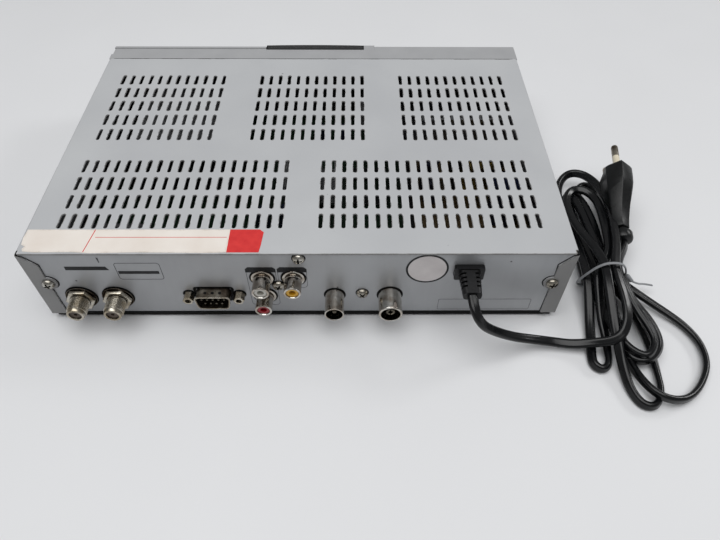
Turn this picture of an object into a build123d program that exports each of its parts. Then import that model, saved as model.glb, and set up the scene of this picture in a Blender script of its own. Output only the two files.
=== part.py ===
"""Satellite television receiver, seen from the rear with its connectors, cord and plug.

Millimetres. +Z is up, the front faces -Y and the connectors face +Y. The origin is on the
surface that the feet stand on, under the middle of the case. One STEP file per piece.
"""
import math
import os

from build123d import *

# ---------------------------------------------------------------- case
CASE_WIDTH = 260.0
CASE_HEIGHT = 50.0
CASE_DEPTH = 165.0  # rear panel to the front edge of the cover
FASCIA_DEPTH = 16.4
LENS_BULGE = 0.6
GLAND_REACH = 15.0  # strain relief past the rear panel
SHEET = 0.8
SHEET_BEND = 1.2  # outer radius of a fold
SHEET_GAP = 0.2  # between the cover and the chassis inside it
FOOT_HEIGHT = 4.0
FOOT_RADIUS = 7.0
FOOT_INSET = 24.0
FOOT_RECESS_RADIUS = 3.2
FOOT_RECESS = 0.8
FOOT_TAPER = 0.8

REAR = (CASE_DEPTH + FASCIA_DEPTH + LENS_BULGE - GLAND_REACH) / 2
COVER_FRONT = REAR - CASE_DEPTH
FASCIA_FRONT = COVER_FRONT - FASCIA_DEPTH
HALF_WIDTH = CASE_WIDTH / 2
CHASSIS_HALF = HALF_WIDTH - SHEET - SHEET_GAP
CHASSIS_TOP = CASE_HEIGHT - SHEET - SHEET_GAP
PANEL_INSIDE = REAR - SHEET
LIP_HEIGHT = 12.0

# ---------------------------------------------------------------- vent slots in the cover
SLOT_WIDTH = 2.0
SLOT_LENGTH = 9.8
SLOT_PITCH = 5.545
SLOT_ROW_PITCH = 13.4
SLOT_SIDE_MARGIN = 15.1  # from the side of the case to the first column
SLOT_GROUP_GAP = 18.0  # least space between two groups
SLOT_FIRST_ROW = 20.4  # forward of the rear panel
REAR_ROWS = 4
REAR_GROUPS = 2
SKIPPED_ROWS = 1
FRONT_ROWS = 5
FRONT_GROUPS = 3

FLOOR_SLOT_LENGTH = 18.0
FLOOR_SLOT_WIDTH = 3.0
FLOOR_SLOT_PITCH = 7.0
FLOOR_SLOT_COUNT = 8

# ---------------------------------------------------------------- corner flanges and screws
FLANGE_WIDTH = 7.7
FLANGE_SLANT = 7.4  # height of the slanting cut at the top
EAR_RADIUS = 4.5
EAR_DROP = 21.5  # below the top of the cover
RELIEF_RADIUS = 0.9
SCREW_HEAD_RADIUS = 3.0
SCREW_HEAD_HEIGHT = 2.0
SCREW_RADIUS = 1.45
SCREW_LENGTH = 7.0
SCREW_HOLE_RADIUS = 1.6
RECESS_LENGTH = 3.2
RECESS_WIDTH = 0.8
RECESS_DEPTH = 1.2
COVER_SCREW_X = HALF_WIDTH - FLANGE_WIDTH
TOP_SCREW = (0.2, CASE_HEIGHT - 4.0)
PHONO_SCREW = (11.2, 26.3)
AERIAL_SCREW = (-29.7, 20.0)
TAB_HALF_WIDTH = 9.0
TAB_DEPTH = 9.0

# ---------------------------------------------------------------- boards
BOARD = 1.6
STANDOFF = 5.0
STANDOFF_FLATS = 5.5
BOARD_SCREW_HEAD = 2.6
BOARD_SCREW_LENGTH = 5.0
FRONT_SCREW_LENGTH = 6.0
BOARD_HOLE_RADIUS = 1.55
BOARD_UNDERSIDE = FOOT_HEIGHT + SHEET + STANDOFF
BOARD_TOP = BOARD_UNDERSIDE + BOARD
BOARD_SIDE_GAP = 5.0  # to the side of the case
BOARD_SPLIT = 6.0  # between the two boards
BOARD_REAR_GAP = 4.0
BOARD_FRONT_GAP = 5.2
MAIN_BOARD_LEFT = -54.0
MAIN_BOARD_RIGHT = HALF_WIDTH - BOARD_SIDE_GAP
MAIN_BOARD_DEPTH = CASE_DEPTH - SHEET - BOARD_REAR_GAP - BOARD_FRONT_GAP
POWER_BOARD_LEFT = BOARD_SIDE_GAP - HALF_WIDTH
POWER_BOARD_RIGHT = MAIN_BOARD_LEFT - BOARD_SPLIT
POWER_BOARD_DEPTH = 128.0
POWER_BOARD_MIDDLE = (POWER_BOARD_LEFT + POWER_BOARD_RIGHT) / 2

# ---------------------------------------------------------------- F sockets
F_INSET = 19.7  # from the side of the case to the outer socket
F_PITCH = 18.1
F_PLACES = (HALF_WIDTH - F_INSET, HALF_WIDTH - F_INSET - F_PITCH)
F_HEIGHT = 17.2
F_RADIUS = 4.76
F_SHANK_RADIUS = 4.6  # through the panel, the washer and the nut
F_CHAMFER = 0.5
F_BORE = 3.2
F_REACH = 12.0
F_HOLE = 4.95
F_WASHER_RADIUS = 7.5
F_WASHER = 0.8
F_NUT_FLATS = 12.7
F_NUT = 2.4
F_CONTACT_HOLE = 0.8
F_RECESS = 1.0
TUNER_HEIGHT = 14.0
TUNER_DEPTH = 42.0
TUNER_MARGIN = 9.0
CAN_LID = 1.0  # inset of a can's lid, and twice its thickness

# ---------------------------------------------------------------- serial port
PORT_X = 43.8
PORT_HEIGHT = 19.2
PORT_WIDTH = 17.8
PORT_TALL = 9.0
PORT_CORNER = 2.4
PORT_SLANT = 10.0  # degrees
PORT_WALL = 0.5
PORT_REACH = 6.0
PORT_FLANGE_WIDTH = 30.8
PORT_FLANGE_TALL = 12.5
PORT_FLANGE = 1.0
JACKSCREW_SPACING = 24.99
JACKSCREW_FLATS = 4.8
JACKSCREW_REACH = 5.2
JACKSCREW_BORE = 1.2
JACKSCREW_THREAD = 1.42
JACKSCREW_HOLE = 1.52
JACKSCREW_DEPTH = 3.0
PIN_RADIUS = 0.5
PIN_PITCH = 2.77
PIN_ROW_PITCH = 2.84
PIN_REACH = 5.0
INSERT_REACH = 0.4
PORT_BODY_DEPTH = 10.0

# ---------------------------------------------------------------- phono sockets
PHONO_RADIUS = 4.15
PHONO_WALL = 0.45
PHONO_COLLAR = 5.75
PHONO_COLLAR_REACH = 0.8
PHONO_HOLE = 6.3
PHONO_REACH = 9.6
PHONO_BORE = 1.65
PHONO_BORE_DEPTH = 9.0
PHONO_RECESS = 0.4
PHONO_PLACES = {"white": (18.7, 31.6), "red": (18.7, 18.0), "yellow": (3.6, 31.6)}
PHONO_BLOCK_SIDE = 7.4  # from a socket's axis to the side of the block
PHONO_BLOCK_DEPTH = 18.0

# ---------------------------------------------------------------- aerial sockets
AERIAL_OUT_X = -16.0
AERIAL_IN_X = -43.5
AERIAL_HEIGHT = 18.4
AERIAL_REACH = 12.4
AERIAL_OUT_RADIUS = 4.75
AERIAL_IN_RADIUS = 5.8
AERIAL_IN_BORE = 4.85
AERIAL_OUT_WALL = 0.6
AERIAL_NECK = 0.2  # by which the outlet's shell is thinner where it passes the panel
AERIAL_NECK_REACH = 0.4
AERIAL_HOLE_GAP = 0.6
AERIAL_PIN_RADIUS = 1.2
AERIAL_SLEEVE_RADIUS = 2.1
AERIAL_CONTACT_RECESS = 1.5
AERIAL_INSULATOR_DEPTH = 9.5
SLEEVE_SPLIT = 0.5
SLEEVE_SPLIT_DEPTH = 6.0
MODULATOR_MARGIN = 9.0
MODULATOR_HEIGHT = 15.0
MODULATOR_DEPTH = 38.0

# ---------------------------------------------------------------- strain relief and cord
GLAND_INSET = 49.6  # from the side of the case
GLAND_X = GLAND_INSET - HALF_WIDTH
GLAND_HEIGHT = 37.4
GLAND_BLOCK_WIDTH = 14.2
GLAND_BLOCK_TALL = 8.4
GLAND_BLOCK = 2.6
GLAND_NECK_WIDTH = 11.0
GLAND_NECK_TALL = 6.2
GLAND_TAIL = 8.0  # inside the case
BOOT_WIDTH = 10.2
BOOT_TALL = 6.6
BOOT_END_WIDTH = 8.6
BOOT_END_TALL = 5.4
BOOT_RIB_PITCH = 2.3
BOOT_RIB_SLOT = 1.0
BOOT_RIB_DEPTH = 3.0
BOOT_RIB_ROWS = 4
BOOT_DROP = 0.8
CORD_RADIUS = 2.85

# Routes by hand: X from the strain relief's axis, Y past the rear panel, Z. The lead runs from
# the boot to the tied hank.
LEAD_ROUTE = [
    (0.0, GLAND_REACH, GLAND_HEIGHT - BOOT_DROP),
    (-0.1, 19.7, 35.4),
    (-1.2, 23.7, 31.4),
    (-3.6, 24.8, 25.2),
    (-8.2, 23.3, 18.6),
    (-14.6, 21.5, 12.6),
    (-23.1, 20.1, 7.6),
    (-33.1, 18.9, 4.3),
    (-43.6, 19.2, 3.1),
    (-53.1, 20.6, 3.4),
    (-61.6, 21.2, 5.0),
]
# The other end, from the plug's collar to the waist of the hank.
PLUG_ROUTE = [
    (-95.25, -39.9, 17.75),
    (-94.6, -34.6, 17.9),
    (-92.9, -29.4, 17.2),
    (-89.8, -24.9, 15.6),
    (-85.2, -22.0, 14.0),
]
BEND_SHARE = 0.45  # of the shorter run, used by each arc

# The tied hank's sections: X and Y as in the routes, width, lowest and highest Z.
HANK_SECTIONS = [
    (-83.1, -102.0, 13.0, 0.2, 7.0),
    (-81.6, -86.0, 20.0, 0.2, 15.0),
    (-81.1, -44.0, 19.0, 0.2, 20.0),
    (-76.6, -21.5, 22.0, 1.6, 22.6),
    (-76.6, -15.5, 22.0, 1.6, 22.6),
    (-70.6, 8.0, 24.0, 0.2, 18.0),
    (-65.6, 38.0, 17.0, 0.2, 10.0),
]
HANK_CORNER = 3.0
# Loops that fan out on the floor beside the bundle: middle X and Y, half sizes, turn, height.
HANK_LOOPS = [
    (-84.6, 30.0, 11.0, 28.0, 0.0, 8.0),
    (-100.6, 21.0, 20.5, 34.0, 26.0, 6.0),
    (-88.1, 16.0, 13.0, 20.0, 30.0, 14.0),
]
TIE_WIDTH = 2.2
TIE_THICKNESS = 1.2
TIE_TAIL = [(-88.2, -18.5, 14.0), (-93.6, -17.6, 11.0), (-99.1, -16.8, 5.5), (-105.6, -15.0, 3.0)]

# ---------------------------------------------------------------- plug
PLUG_FACE = (-101.1, -87.5, 17.75)  # middle of the pin face, placed as the routes are
PLUG_TURN = -7.0  # degrees, the pins point forwards and outwards
PLUG_HALF_WIDTH = 17.65
PLUG_FLAT_HALF = 13.05
PLUG_HALF_THICKNESS = 6.85
PLUG_SHOULDER = 15.0  # from the pin face to the start of the taper
PLUG_NECK = 38.0
PLUG_NECK_SHARE = 0.36  # of the pin face's width
PLUG_LENGTH = 48.0
PLUG_COLLAR_RADIUS = 4.9
PLUG_COLLAR_LENGTH = 8.0
PLUG_PIN_PITCH = 18.6
PLUG_PIN_RADIUS = 2.0
PLUG_CORE_RADIUS = 1.5
PLUG_PIN_LENGTH = 19.0
PLUG_SLEEVE_LENGTH = 10.0

# ---------------------------------------------------------------- fascia and door
FASCIA_WALL = 2.2
FASCIA_BOTTOM = 3.4
FASCIA_EDGE = 2.0
CLIP_X = (-100.0, -20.0, 60.0)
CLIP_WIDTH = 10.0
CLIP_THICKNESS = 1.6
CLIP_REACH = 4.0  # behind the rear edge of the fascia
CLIP_BARB = 0.4  # past the edge of its window
CLIP_INSET = 1.6  # between the clip and the outside of the fascia's wall
CLIP_GAP = 0.3
CLIP_ROOT_GAP = 1.0  # between the clip's root and the chassis front
DOOR_SPAN = 98.3  # from its left end to the side of the case
DOOR_LEFT = HALF_WIDTH - DOOR_SPAN
DOOR_THICKNESS = 4.0
DOOR_SKIN = 2.0
DOOR_RIM = 3.0
DOOR_GAP = 0.35
DOOR_BOTTOM = 9.0
DOOR_END = 0.4  # inside the end of the fascia
HINGE_RADIUS = 1.25
HINGE_CLEARANCE = 0.05
HINGE_PIN_LENGTH = 2.4
HINGE_BORE_LENGTH = 2.6
EAR_WIDTH = 3.2
RECESS_LEFT = DOOR_LEFT + 4.3
RECESS_RIGHT = HALF_WIDTH - 5.0
RECESS_BOTTOM = 14.5
RECESS_TOP = CASE_HEIGHT - 4.5
RECESS_FLOOR_DEPTH = 5.4
RECESS_WALL = 2.0
NOTCH_LENGTH = 7.0
NOTCH_DEPTH = 1.0
NOTCH_HEIGHT = 16.0
LENS_LEFT = -38.8
LENS_BOTTOM = 15.0
LENS_TOP_RETURN = 6.6  # how far the lens runs back over the top of the fascia
LENS_FACE = 2.0
LENS_GAP = 0.1
LENS_LEDGE = 2.5
CATCH_WIDTH = 9.0
CATCH_REACH = 1.6
CATCH_THICKNESS = 1.4
CATCH_DROP = 7.5

# ---------------------------------------------------------------- buttons and light
STANDBY_X = 18.0 - HALF_WIDTH
CHANNEL_X = {"channel_down": STANDBY_X + 24.0, "channel_up": STANDBY_X + 46.0}
BUTTON_HEIGHT = 27.0
STANDBY_RADIUS = 5.6
CHANNEL_WIDTH = 14.0
CHANNEL_TALL = 6.6
CHANNEL_CORNER = 1.6
BUTTON_EDGE = 0.5
BUTTON_PROUD = 0.3
BUTTON_CLEARANCE = 0.35
BUTTON_FLANGE = 1.4
BUTTON_FLANGE_WALL = 0.8
BUTTON_TRAVEL = 0.8
BUTTON_POST_RADIUS = 1.8
PLUNGER_GAP = 0.3
SWITCH_SIDE = 6.0
SWITCH_DEPTH = 3.5
PLUNGER_RADIUS = 1.75
PLUNGER_REACH = 0.6
LIGHT_X = STANDBY_X + 12.5
LIGHT_RADIUS = 1.5
LIGHT_PROUD = 0.2
LIGHT_FLANGE = 0.8
LIGHT_EDGE = 0.3

# ---------------------------------------------------------------- front board and display
FRONT_BOARD_GAP = 2.8  # between the board and the chassis front
FRONT_BOARD_LEFT = 8.0 - HALF_WIDTH
FRONT_BOARD_RIGHT = DOOR_LEFT - 4.7
FRONT_BOARD_BOTTOM = 11.0
FRONT_BOARD_TOP = CASE_HEIGHT - 7.0
FRONT_POST_RADIUS = 3.0
FRONT_POST_INSET = 5.0
DISPLAY_INSET = 7.0  # from each end of the lens
DISPLAY_X = (LENS_LEFT + DOOR_LEFT - DOOR_GAP) / 2
DISPLAY_WIDTH = DOOR_LEFT - DOOR_GAP - LENS_LEFT - 2 * DISPLAY_INSET
DISPLAY_TALL = 20.0
DISPLAY_HEIGHT = 31.0
DISPLAY_LENS_GAP = 0.8
DISPLAY_GLASS = 5.0
DISPLAY_CARRIER_INSET = 2.0

# ---------------------------------------------------------------- module bay
BAY_INSET = 57.0  # from the side of the case
BAY_X = HALF_WIDTH - BAY_INSET
CARD_WIDTH = 54.8
CARD_TALL = 5.6
CARD_DEPTH = 84.0
LOWER_CARD = 21.0
UPPER_CARD = 33.0
BAY_WALL = 3.2
BAY_ROOF = 2.4
BAY_BACK = 8.0
CAGE = 0.5
CARD_LEAD = 0.8  # by which the opening in the fascia is larger
EJECTOR_X = BAY_X + CARD_WIDTH / 2 + BAY_WALL + 6.4
EJECTOR_CAP_WIDTH = 5.4
EJECTOR_CAP_TALL = 5.0
EJECTOR_CAP_DEPTH = 6.0
EJECTOR_CAP_EDGE = 0.6
EJECTOR_PROUD = 1.0
EJECTOR_CLEARANCE = 0.3
EJECTOR_ROD_TALL = 3.4
EJECTOR_ROD = 1.4
EJECTOR_ROD_LENGTH = 62.0
EJECTOR_GUIDES = (18.0, 52.0)  # behind the chassis front
EJECTOR_GUIDE = 4.0

# ---------------------------------------------------------------- on the boards
STANDOFF_INSET = 5.0  # from the edges of a board
REAR_EDGE = SHEET + BOARD_REAR_GAP  # of both boards, forward of the rear panel
TUNER_LEFT = min(F_PLACES) - TUNER_MARGIN
MAIN_STANDOFFS = (
    ((PORT_X + PORT_FLANGE_WIDTH / 2 + TUNER_LEFT) / 2, REAR_EDGE + STANDOFF_INSET),
    (MAIN_BOARD_LEFT + STANDOFF_INSET, REAR_EDGE + MODULATOR_DEPTH + STANDOFF_INSET),
    (MAIN_BOARD_RIGHT - STANDOFF_INSET, REAR_EDGE + TUNER_DEPTH + STANDOFF_INSET),
    (MAIN_BOARD_LEFT + STANDOFF_INSET, REAR_EDGE + MAIN_BOARD_DEPTH - STANDOFF_INSET),
    (MAIN_BOARD_RIGHT - STANDOFF_INSET, REAR_EDGE + MAIN_BOARD_DEPTH - STANDOFF_INSET),
)
POWER_STANDOFFS = tuple(
    (x, back)
    for x in (POWER_BOARD_LEFT + STANDOFF_INSET, POWER_BOARD_RIGHT - STANDOFF_INSET)
    for back in (REAR_EDGE + STANDOFF_INSET, REAR_EDGE + POWER_BOARD_DEPTH - STANDOFF_INSET)
)
CHIP = (0.0, 84.0, 27.0, 2.2)  # X, forward of the rear panel, side, height
CHIP_SINK_SIDE = 30.0
CHIP_SINK_BASE = 2.0
CHIP_SINK_HEIGHT = 9.0
CHIP_SINK_FINS = 8
FIN = 1.2
MEMORY_PLACES = ((-34.0, 76.0), (-34.0, 98.0))
MEMORY_SIZE = (22.0, 10.2, 1.2)
# X, forward of the rear panel, radius, height.
CAPACITORS = (
    (12.0, 56.0, 5.0, 12.0),
    (26.0, 56.0, 4.0, 11.0),
    (-20.0, 132.0, 4.0, 11.0),
    (-4.0, 132.0, 4.0, 11.0),
    (POWER_BOARD_LEFT + 15.0, 62.0, 9.0, 27.0),
    (POWER_BOARD_RIGHT - 10.0, 100.0, 5.0, 20.0),
    (POWER_BOARD_RIGHT - 10.0, 88.0, 5.0, 20.0),
    (POWER_BOARD_RIGHT - 10.0, 76.0, 4.0, 16.0),
)
CAPACITOR_BEAD = 0.4
CAPACITOR_BEAD_HEIGHT = 1.5
CAPACITOR_RIM = 0.6
TRANSFORMER = (POWER_BOARD_MIDDLE - 4.5, 90.0)
CORE_SIZE = (29.0, 12.0, 27.0)
CORE_WINDOW = 18.0
CORE_BAR = 4.5
WINDING_RADIUS = 11.5
WINDING_HEIGHT = 16.0
BOBBIN_FLANGE = 1.0
WINDING_GAP = 0.2
POWER_SINK_INSET = 6.5
# X, forward of the rear panel, width, height.
POWER_SINK = (POWER_BOARD_MIDDLE, 114.0, POWER_BOARD_RIGHT - POWER_BOARD_LEFT - 2 * POWER_SINK_INSET, 30.0)
POWER_SINK_SHEET = 2.0
POWER_SINK_FINS = 7
POWER_SINK_FIN = 7.0
TRANSISTOR = (10.2, 4.5, 15.0)
TRANSISTOR_LIFT = 4.0
TRANSISTOR_LEG = (0.9, 0.6)
TRANSISTOR_LEG_PITCH = 2.54
CHOKE = (POWER_BOARD_LEFT + 13.0, 26.0, 9.0)  # X, forward of the rear panel, radius
CHOKE_CHAMFER = 1.2
CHOKE_BORE = 4.0
CHOKE_THICKNESS = 8.0
FUSE = (POWER_BOARD_RIGHT - 22.0, 37.0)
FUSE_LENGTH = 20.0
FUSE_RADIUS = 2.6
FUSE_CAP = 4.5
FUSE_LIFT = 5.0
FUSE_RIM = 0.2  # by which the caps stand round the glass
WIRE_RADIUS = 0.9
WIRE_PITCH = 2.0
WIRE_REACH = 9.0
WIRE_BEND = 6.0
RIBBON_X = -36.0
RIBBON_WIDTH = 20.0
RIBBON = 0.9
RIBBON_SETBACK = 11.8  # behind the front edge of the main board
RIBBON_HEIGHT = 12.0  # above the lower edge of the front board
RIBBON_BEND = 3.0


# ================================================================ helpers
def block(x, y, z):
    """A box between pairs of limits along X, Y and Z."""
    size = [abs(limits[1] - limits[0]) for limits in (x, y, z)]
    middle = [(limits[0] + limits[1]) / 2 for limits in (x, y, z)]
    return Pos(*middle) * Box(*size)


def rod(x, z, radius, y0, y1):
    """A cylinder along Y."""
    return Pos(x, (y0 + y1) / 2, z) * Rot(X=90) * Cylinder(radius, abs(y1 - y0))


def across(y, z, radius, x0, x1):
    """A cylinder along X."""
    return Pos((x0 + x1) / 2, y, z) * Rot(Y=90) * Cylinder(radius, abs(x1 - x0))


def along_y(sketch, x, z, y0, y1):
    """A sketch in X and Z, extruded from y0 to y1."""
    return extrude(Plane((x, y1, z), x_dir=(1, 0, 0), z_dir=(0, -1, 0)) * sketch, y1 - y0)


def folded(points, plane, length):
    """A folded sheet: its middle line in a plane, extruded to both sides of the plane."""
    line = FilletPolyline(*points, radius=SHEET_BEND - SHEET / 2)
    return extrude(plane * trace(line, line_width=SHEET), length / 2, both=True)


def mirror_x(part):
    return mirror(part, Plane.YZ)


def save(name, part):
    """Writes one piece, or a group of alike pieces, as a STEP file."""
    solids = part.solids() if hasattr(part, "solids") else [s for p in part for s in p.solids()]
    export_step(solids[0] if len(solids) == 1 else Compound(children=solids), f"parts/{name}.step")


def upright_screw(length, head):
    """A pan-head screw with a cross recess: its head stands on z = 0, its shank hangs below."""
    rim = SCREW_HEAD_HEIGHT * 0.45
    profile = make_face(
        Polyline((0, 0), (head, 0), (head, rim))
        + ThreePointArc((head, rim), (head * 0.75, SCREW_HEAD_HEIGHT * 0.88), (0, SCREW_HEAD_HEIGHT))
        + Line((0, SCREW_HEAD_HEIGHT), (0, 0))
    )
    screw = revolve(Plane.XZ * profile, Axis.Z) + Pos(0, 0, -length / 2) * Cylinder(SCREW_RADIUS, length)
    recess = (SCREW_HEAD_HEIGHT - RECESS_DEPTH, SCREW_HEAD_HEIGHT + 1)
    for wide, deep in ((RECESS_LENGTH, RECESS_WIDTH), (RECESS_WIDTH, RECESS_LENGTH)):
        screw -= block((-wide / 2, wide / 2), (-deep / 2, deep / 2), recess)
    return screw


def pan_screw(x, seat, z, length=SCREW_LENGTH, head=SCREW_HEAD_RADIUS):
    """The same screw facing the rear, its head against the plane y = seat."""
    return Pos(x, seat, z) * Rot(X=-90) * upright_screw(length, head)


# ================================================================ sheet metal
def slot_columns(groups):
    """X of every slot column in a row of several groups, with as many columns as fit."""
    span = CASE_WIDTH - 2 * SLOT_SIDE_MARGIN
    columns = int((span - (groups - 1) * SLOT_GROUP_GAP) / groups / SLOT_PITCH) + 1
    group_span = (columns - 1) * SLOT_PITCH
    group_pitch = (span - group_span) / (groups - 1)
    return [
        -span / 2 + group * group_pitch + column * SLOT_PITCH
        for group in range(groups)
        for column in range(columns)
    ]


def vent_slots():
    """The slots of the cover, as one cutter each."""
    first = REAR - SLOT_FIRST_ROW
    places = []
    for row in range(REAR_ROWS):
        places += [(x, first - row * SLOT_ROW_PITCH) for x in slot_columns(REAR_GROUPS)]
    for row in range(REAR_ROWS + SKIPPED_ROWS, REAR_ROWS + SKIPPED_ROWS + FRONT_ROWS):
        places += [(x, first - row * SLOT_ROW_PITCH) for x in slot_columns(FRONT_GROUPS)]
    cutter = Box(SLOT_WIDTH, SLOT_LENGTH, 4 * SHEET)
    return [Pos(x, y, CASE_HEIGHT) * cutter for x, y in places]


def corner_flange():
    """The cover's rear flange at +X, with its slanting top and round screw ear."""
    inner = HALF_WIDTH - FLANGE_WIDTH
    outline = make_face(
        Polyline(
            (HALF_WIDTH, FOOT_HEIGHT),
            (HALF_WIDTH, CASE_HEIGHT - SHEET_BEND),
            (HALF_WIDTH - SHEET, CASE_HEIGHT - SHEET_BEND),
            (inner, CASE_HEIGHT - SHEET_BEND - FLANGE_SLANT),
            (inner, FOOT_HEIGHT),
            close=True,
        )
    )
    ear = Pos(COVER_SCREW_X, CASE_HEIGHT - EAR_DROP) * Circle(EAR_RADIUS)
    sheet = along_y(outline + ear, 0, 0, REAR, REAR + SHEET)
    return sheet - rod(COVER_SCREW_X, CASE_HEIGHT - EAR_DROP, SCREW_HOLE_RADIUS, REAR - 1, REAR + 2)


def make_top_cover():
    middle = HALF_WIDTH - SHEET / 2
    top = CASE_HEIGHT - SHEET / 2
    length = CASE_DEPTH + SHEET
    plane = Plane((0, REAR + SHEET - length / 2, 0), x_dir=(1, 0, 0), z_dir=(0, -1, 0))
    arch = [(-middle, FOOT_HEIGHT), (-middle, top), (middle, top), (middle, FOOT_HEIGHT)]
    cover = folded(arch, plane, length)
    flange = corner_flange()
    cover += [flange, mirror_x(flange)]
    relief = rod(HALF_WIDTH - SHEET, CASE_HEIGHT - SHEET, RELIEF_RADIUS, REAR - SHEET, REAR + 2 * SHEET)
    cover -= [relief, mirror_x(relief)]
    tab = block(
        (TOP_SCREW[0] - TAB_HALF_WIDTH, TOP_SCREW[0] + TAB_HALF_WIDTH),
        (PANEL_INSIDE - SHEET, PANEL_INSIDE),
        (CASE_HEIGHT - SHEET - TAB_DEPTH, CASE_HEIGHT - SHEET),
    )
    cover += tab - rod(*TOP_SCREW, SCREW_RADIUS, REAR - 5, REAR + 1)
    return cover - vent_slots()


def serial_outline(margin=0.0):
    """The D shape of the serial port, its wider side up."""
    slope = math.tan(math.radians(PORT_SLANT)) * PORT_TALL / 2
    half, tall = PORT_WIDTH / 2 + margin, PORT_TALL / 2 + margin
    shape = make_face(
        Polyline(
            (-half, tall), (half, tall), (half - 2 * slope, -tall), (-half + 2 * slope, -tall), close=True
        )
    )
    return fillet(shape.vertices(), PORT_CORNER + margin)


def panel_holes():
    """Everything that is cut out of the rear panel."""
    y = (REAR - 2 * SHEET, REAR + SHEET)
    holes = [rod(x, F_HEIGHT, F_HOLE, *y) for x in F_PLACES]
    holes += [rod(x, z, PHONO_HOLE, *y) for x, z in PHONO_PLACES.values()]
    holes += [
        rod(AERIAL_OUT_X, AERIAL_HEIGHT, AERIAL_OUT_RADIUS + AERIAL_HOLE_GAP, *y),
        rod(AERIAL_IN_X, AERIAL_HEIGHT, AERIAL_IN_RADIUS + AERIAL_HOLE_GAP, *y),
    ]
    holes += [rod(*place, SCREW_HOLE_RADIUS, *y) for place in (TOP_SCREW, PHONO_SCREW, AERIAL_SCREW)]
    ear_height = CASE_HEIGHT - EAR_DROP
    holes += [rod(side * COVER_SCREW_X, ear_height, SCREW_RADIUS, *y) for side in (-1, 1)]
    holes.append(along_y(serial_outline(0.3), PORT_X, PORT_HEIGHT, *y))
    for side in (-1, 1):
        holes.append(rod(PORT_X + side * JACKSCREW_SPACING / 2, PORT_HEIGHT, JACKSCREW_HOLE, *y))
    holes.append(along_y(Rectangle(GLAND_NECK_WIDTH, GLAND_NECK_TALL), GLAND_X, GLAND_HEIGHT, *y))
    return holes


def make_chassis():
    """The folded tray: floor, rear panel, front wall and two low side lips."""
    floor = FOOT_HEIGHT + SHEET / 2
    section = [
        (COVER_FRONT + SHEET / 2, CHASSIS_TOP),
        (COVER_FRONT + SHEET / 2, floor),
        (REAR - SHEET / 2, floor),
        (REAR - SHEET / 2, CHASSIS_TOP),
    ]
    tray = folded(section, Plane.YZ, 2 * CHASSIS_HALF)
    lip_middle = CHASSIS_HALF - SHEET / 2
    lip_top = FOOT_HEIGHT + LIP_HEIGHT
    lips = [(-lip_middle, lip_top), (-lip_middle, floor), (lip_middle, floor), (lip_middle, lip_top)]
    lip_length = CASE_DEPTH - 4 * SHEET_BEND
    lip_plane = Plane((0, REAR - CASE_DEPTH / 2, 0), x_dir=(1, 0, 0), z_dir=(0, -1, 0))
    tray += folded(lips, lip_plane, lip_length)
    tray -= panel_holes()
    tray -= front_windows()
    slot = Box(FLOOR_SLOT_WIDTH, FLOOR_SLOT_LENGTH, 4 * SHEET)
    first = (FLOOR_SLOT_COUNT - 1) * FLOOR_SLOT_PITCH / 2
    return tray - [
        Pos(middle + column * FLOOR_SLOT_PITCH - first, y, FOOT_HEIGHT) * slot
        for middle in ((POWER_BOARD_LEFT + POWER_BOARD_RIGHT) / 2, (MAIN_BOARD_LEFT + MAIN_BOARD_RIGHT) / 2)
        for y in (REAR - CASE_DEPTH / 2 - 12, REAR - CASE_DEPTH / 2 + 12)
        for column in range(FLOOR_SLOT_COUNT)
    ]


def make_feet():
    profile = make_face(
        Polyline(
            (0, FOOT_RECESS),
            (FOOT_RECESS_RADIUS, FOOT_RECESS),
            (FOOT_RECESS_RADIUS + FOOT_RECESS, 0),
            (FOOT_RADIUS - FOOT_TAPER, 0),
            (FOOT_RADIUS, FOOT_HEIGHT),
            (0, FOOT_HEIGHT),
            close=True,
        )
    )
    foot = revolve(Plane.XZ * profile, Axis.Z)
    x = HALF_WIDTH - FOOT_INSET
    return [
        Pos(side * x, y, 0) * foot
        for side in (-1, 1)
        for y in (REAR - FOOT_INSET, COVER_FRONT + FOOT_INSET)
    ]


def make_panel_screws():
    """Two on the corner flanges, three in the panel."""
    ear_height = CASE_HEIGHT - EAR_DROP
    screws = [pan_screw(side * COVER_SCREW_X, REAR + SHEET, ear_height) for side in (-1, 1)]
    return screws + [pan_screw(x, REAR, z) for x, z in (TOP_SCREW, PHONO_SCREW, AERIAL_SCREW)]


# ================================================================ connectors
def make_f_sockets():
    """Threaded barrels, each on a plain shank that the washer and the nut go round."""
    sockets = []
    for x in F_PLACES:
        barrel = rod(x, F_HEIGHT, F_RADIUS, REAR + F_WASHER + F_NUT, REAR + F_REACH)
        barrel = chamfer(barrel.edges().filter_by(GeomType.CIRCLE).sort_by(Axis.Y)[-1], F_CHAMFER)
        barrel += rod(x, F_HEIGHT, F_SHANK_RADIUS, PANEL_INSIDE, REAR + F_WASHER + F_NUT)
        sockets.append(barrel - rod(x, F_HEIGHT, F_BORE, REAR, REAR + F_REACH + 1))
    return sockets


def make_f_insulators():
    return [
        rod(x, F_HEIGHT, F_BORE, REAR, REAR + F_REACH - F_RECESS)
        - rod(x, F_HEIGHT, F_CONTACT_HOLE, REAR + F_RECESS, REAR + F_REACH)
        for x in F_PLACES
    ]


def make_f_washers():
    return [
        along_y(Circle(F_WASHER_RADIUS) - Circle(F_SHANK_RADIUS), x, F_HEIGHT, REAR, REAR + F_WASHER)
        for x in F_PLACES
    ]


def make_f_nuts():
    outline = RegularPolygon(F_NUT_FLATS / 2, 6, major_radius=False) - Circle(F_SHANK_RADIUS)
    return [along_y(outline, x, F_HEIGHT, REAR + F_WASHER, REAR + F_WASHER + F_NUT) for x in F_PLACES]


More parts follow.
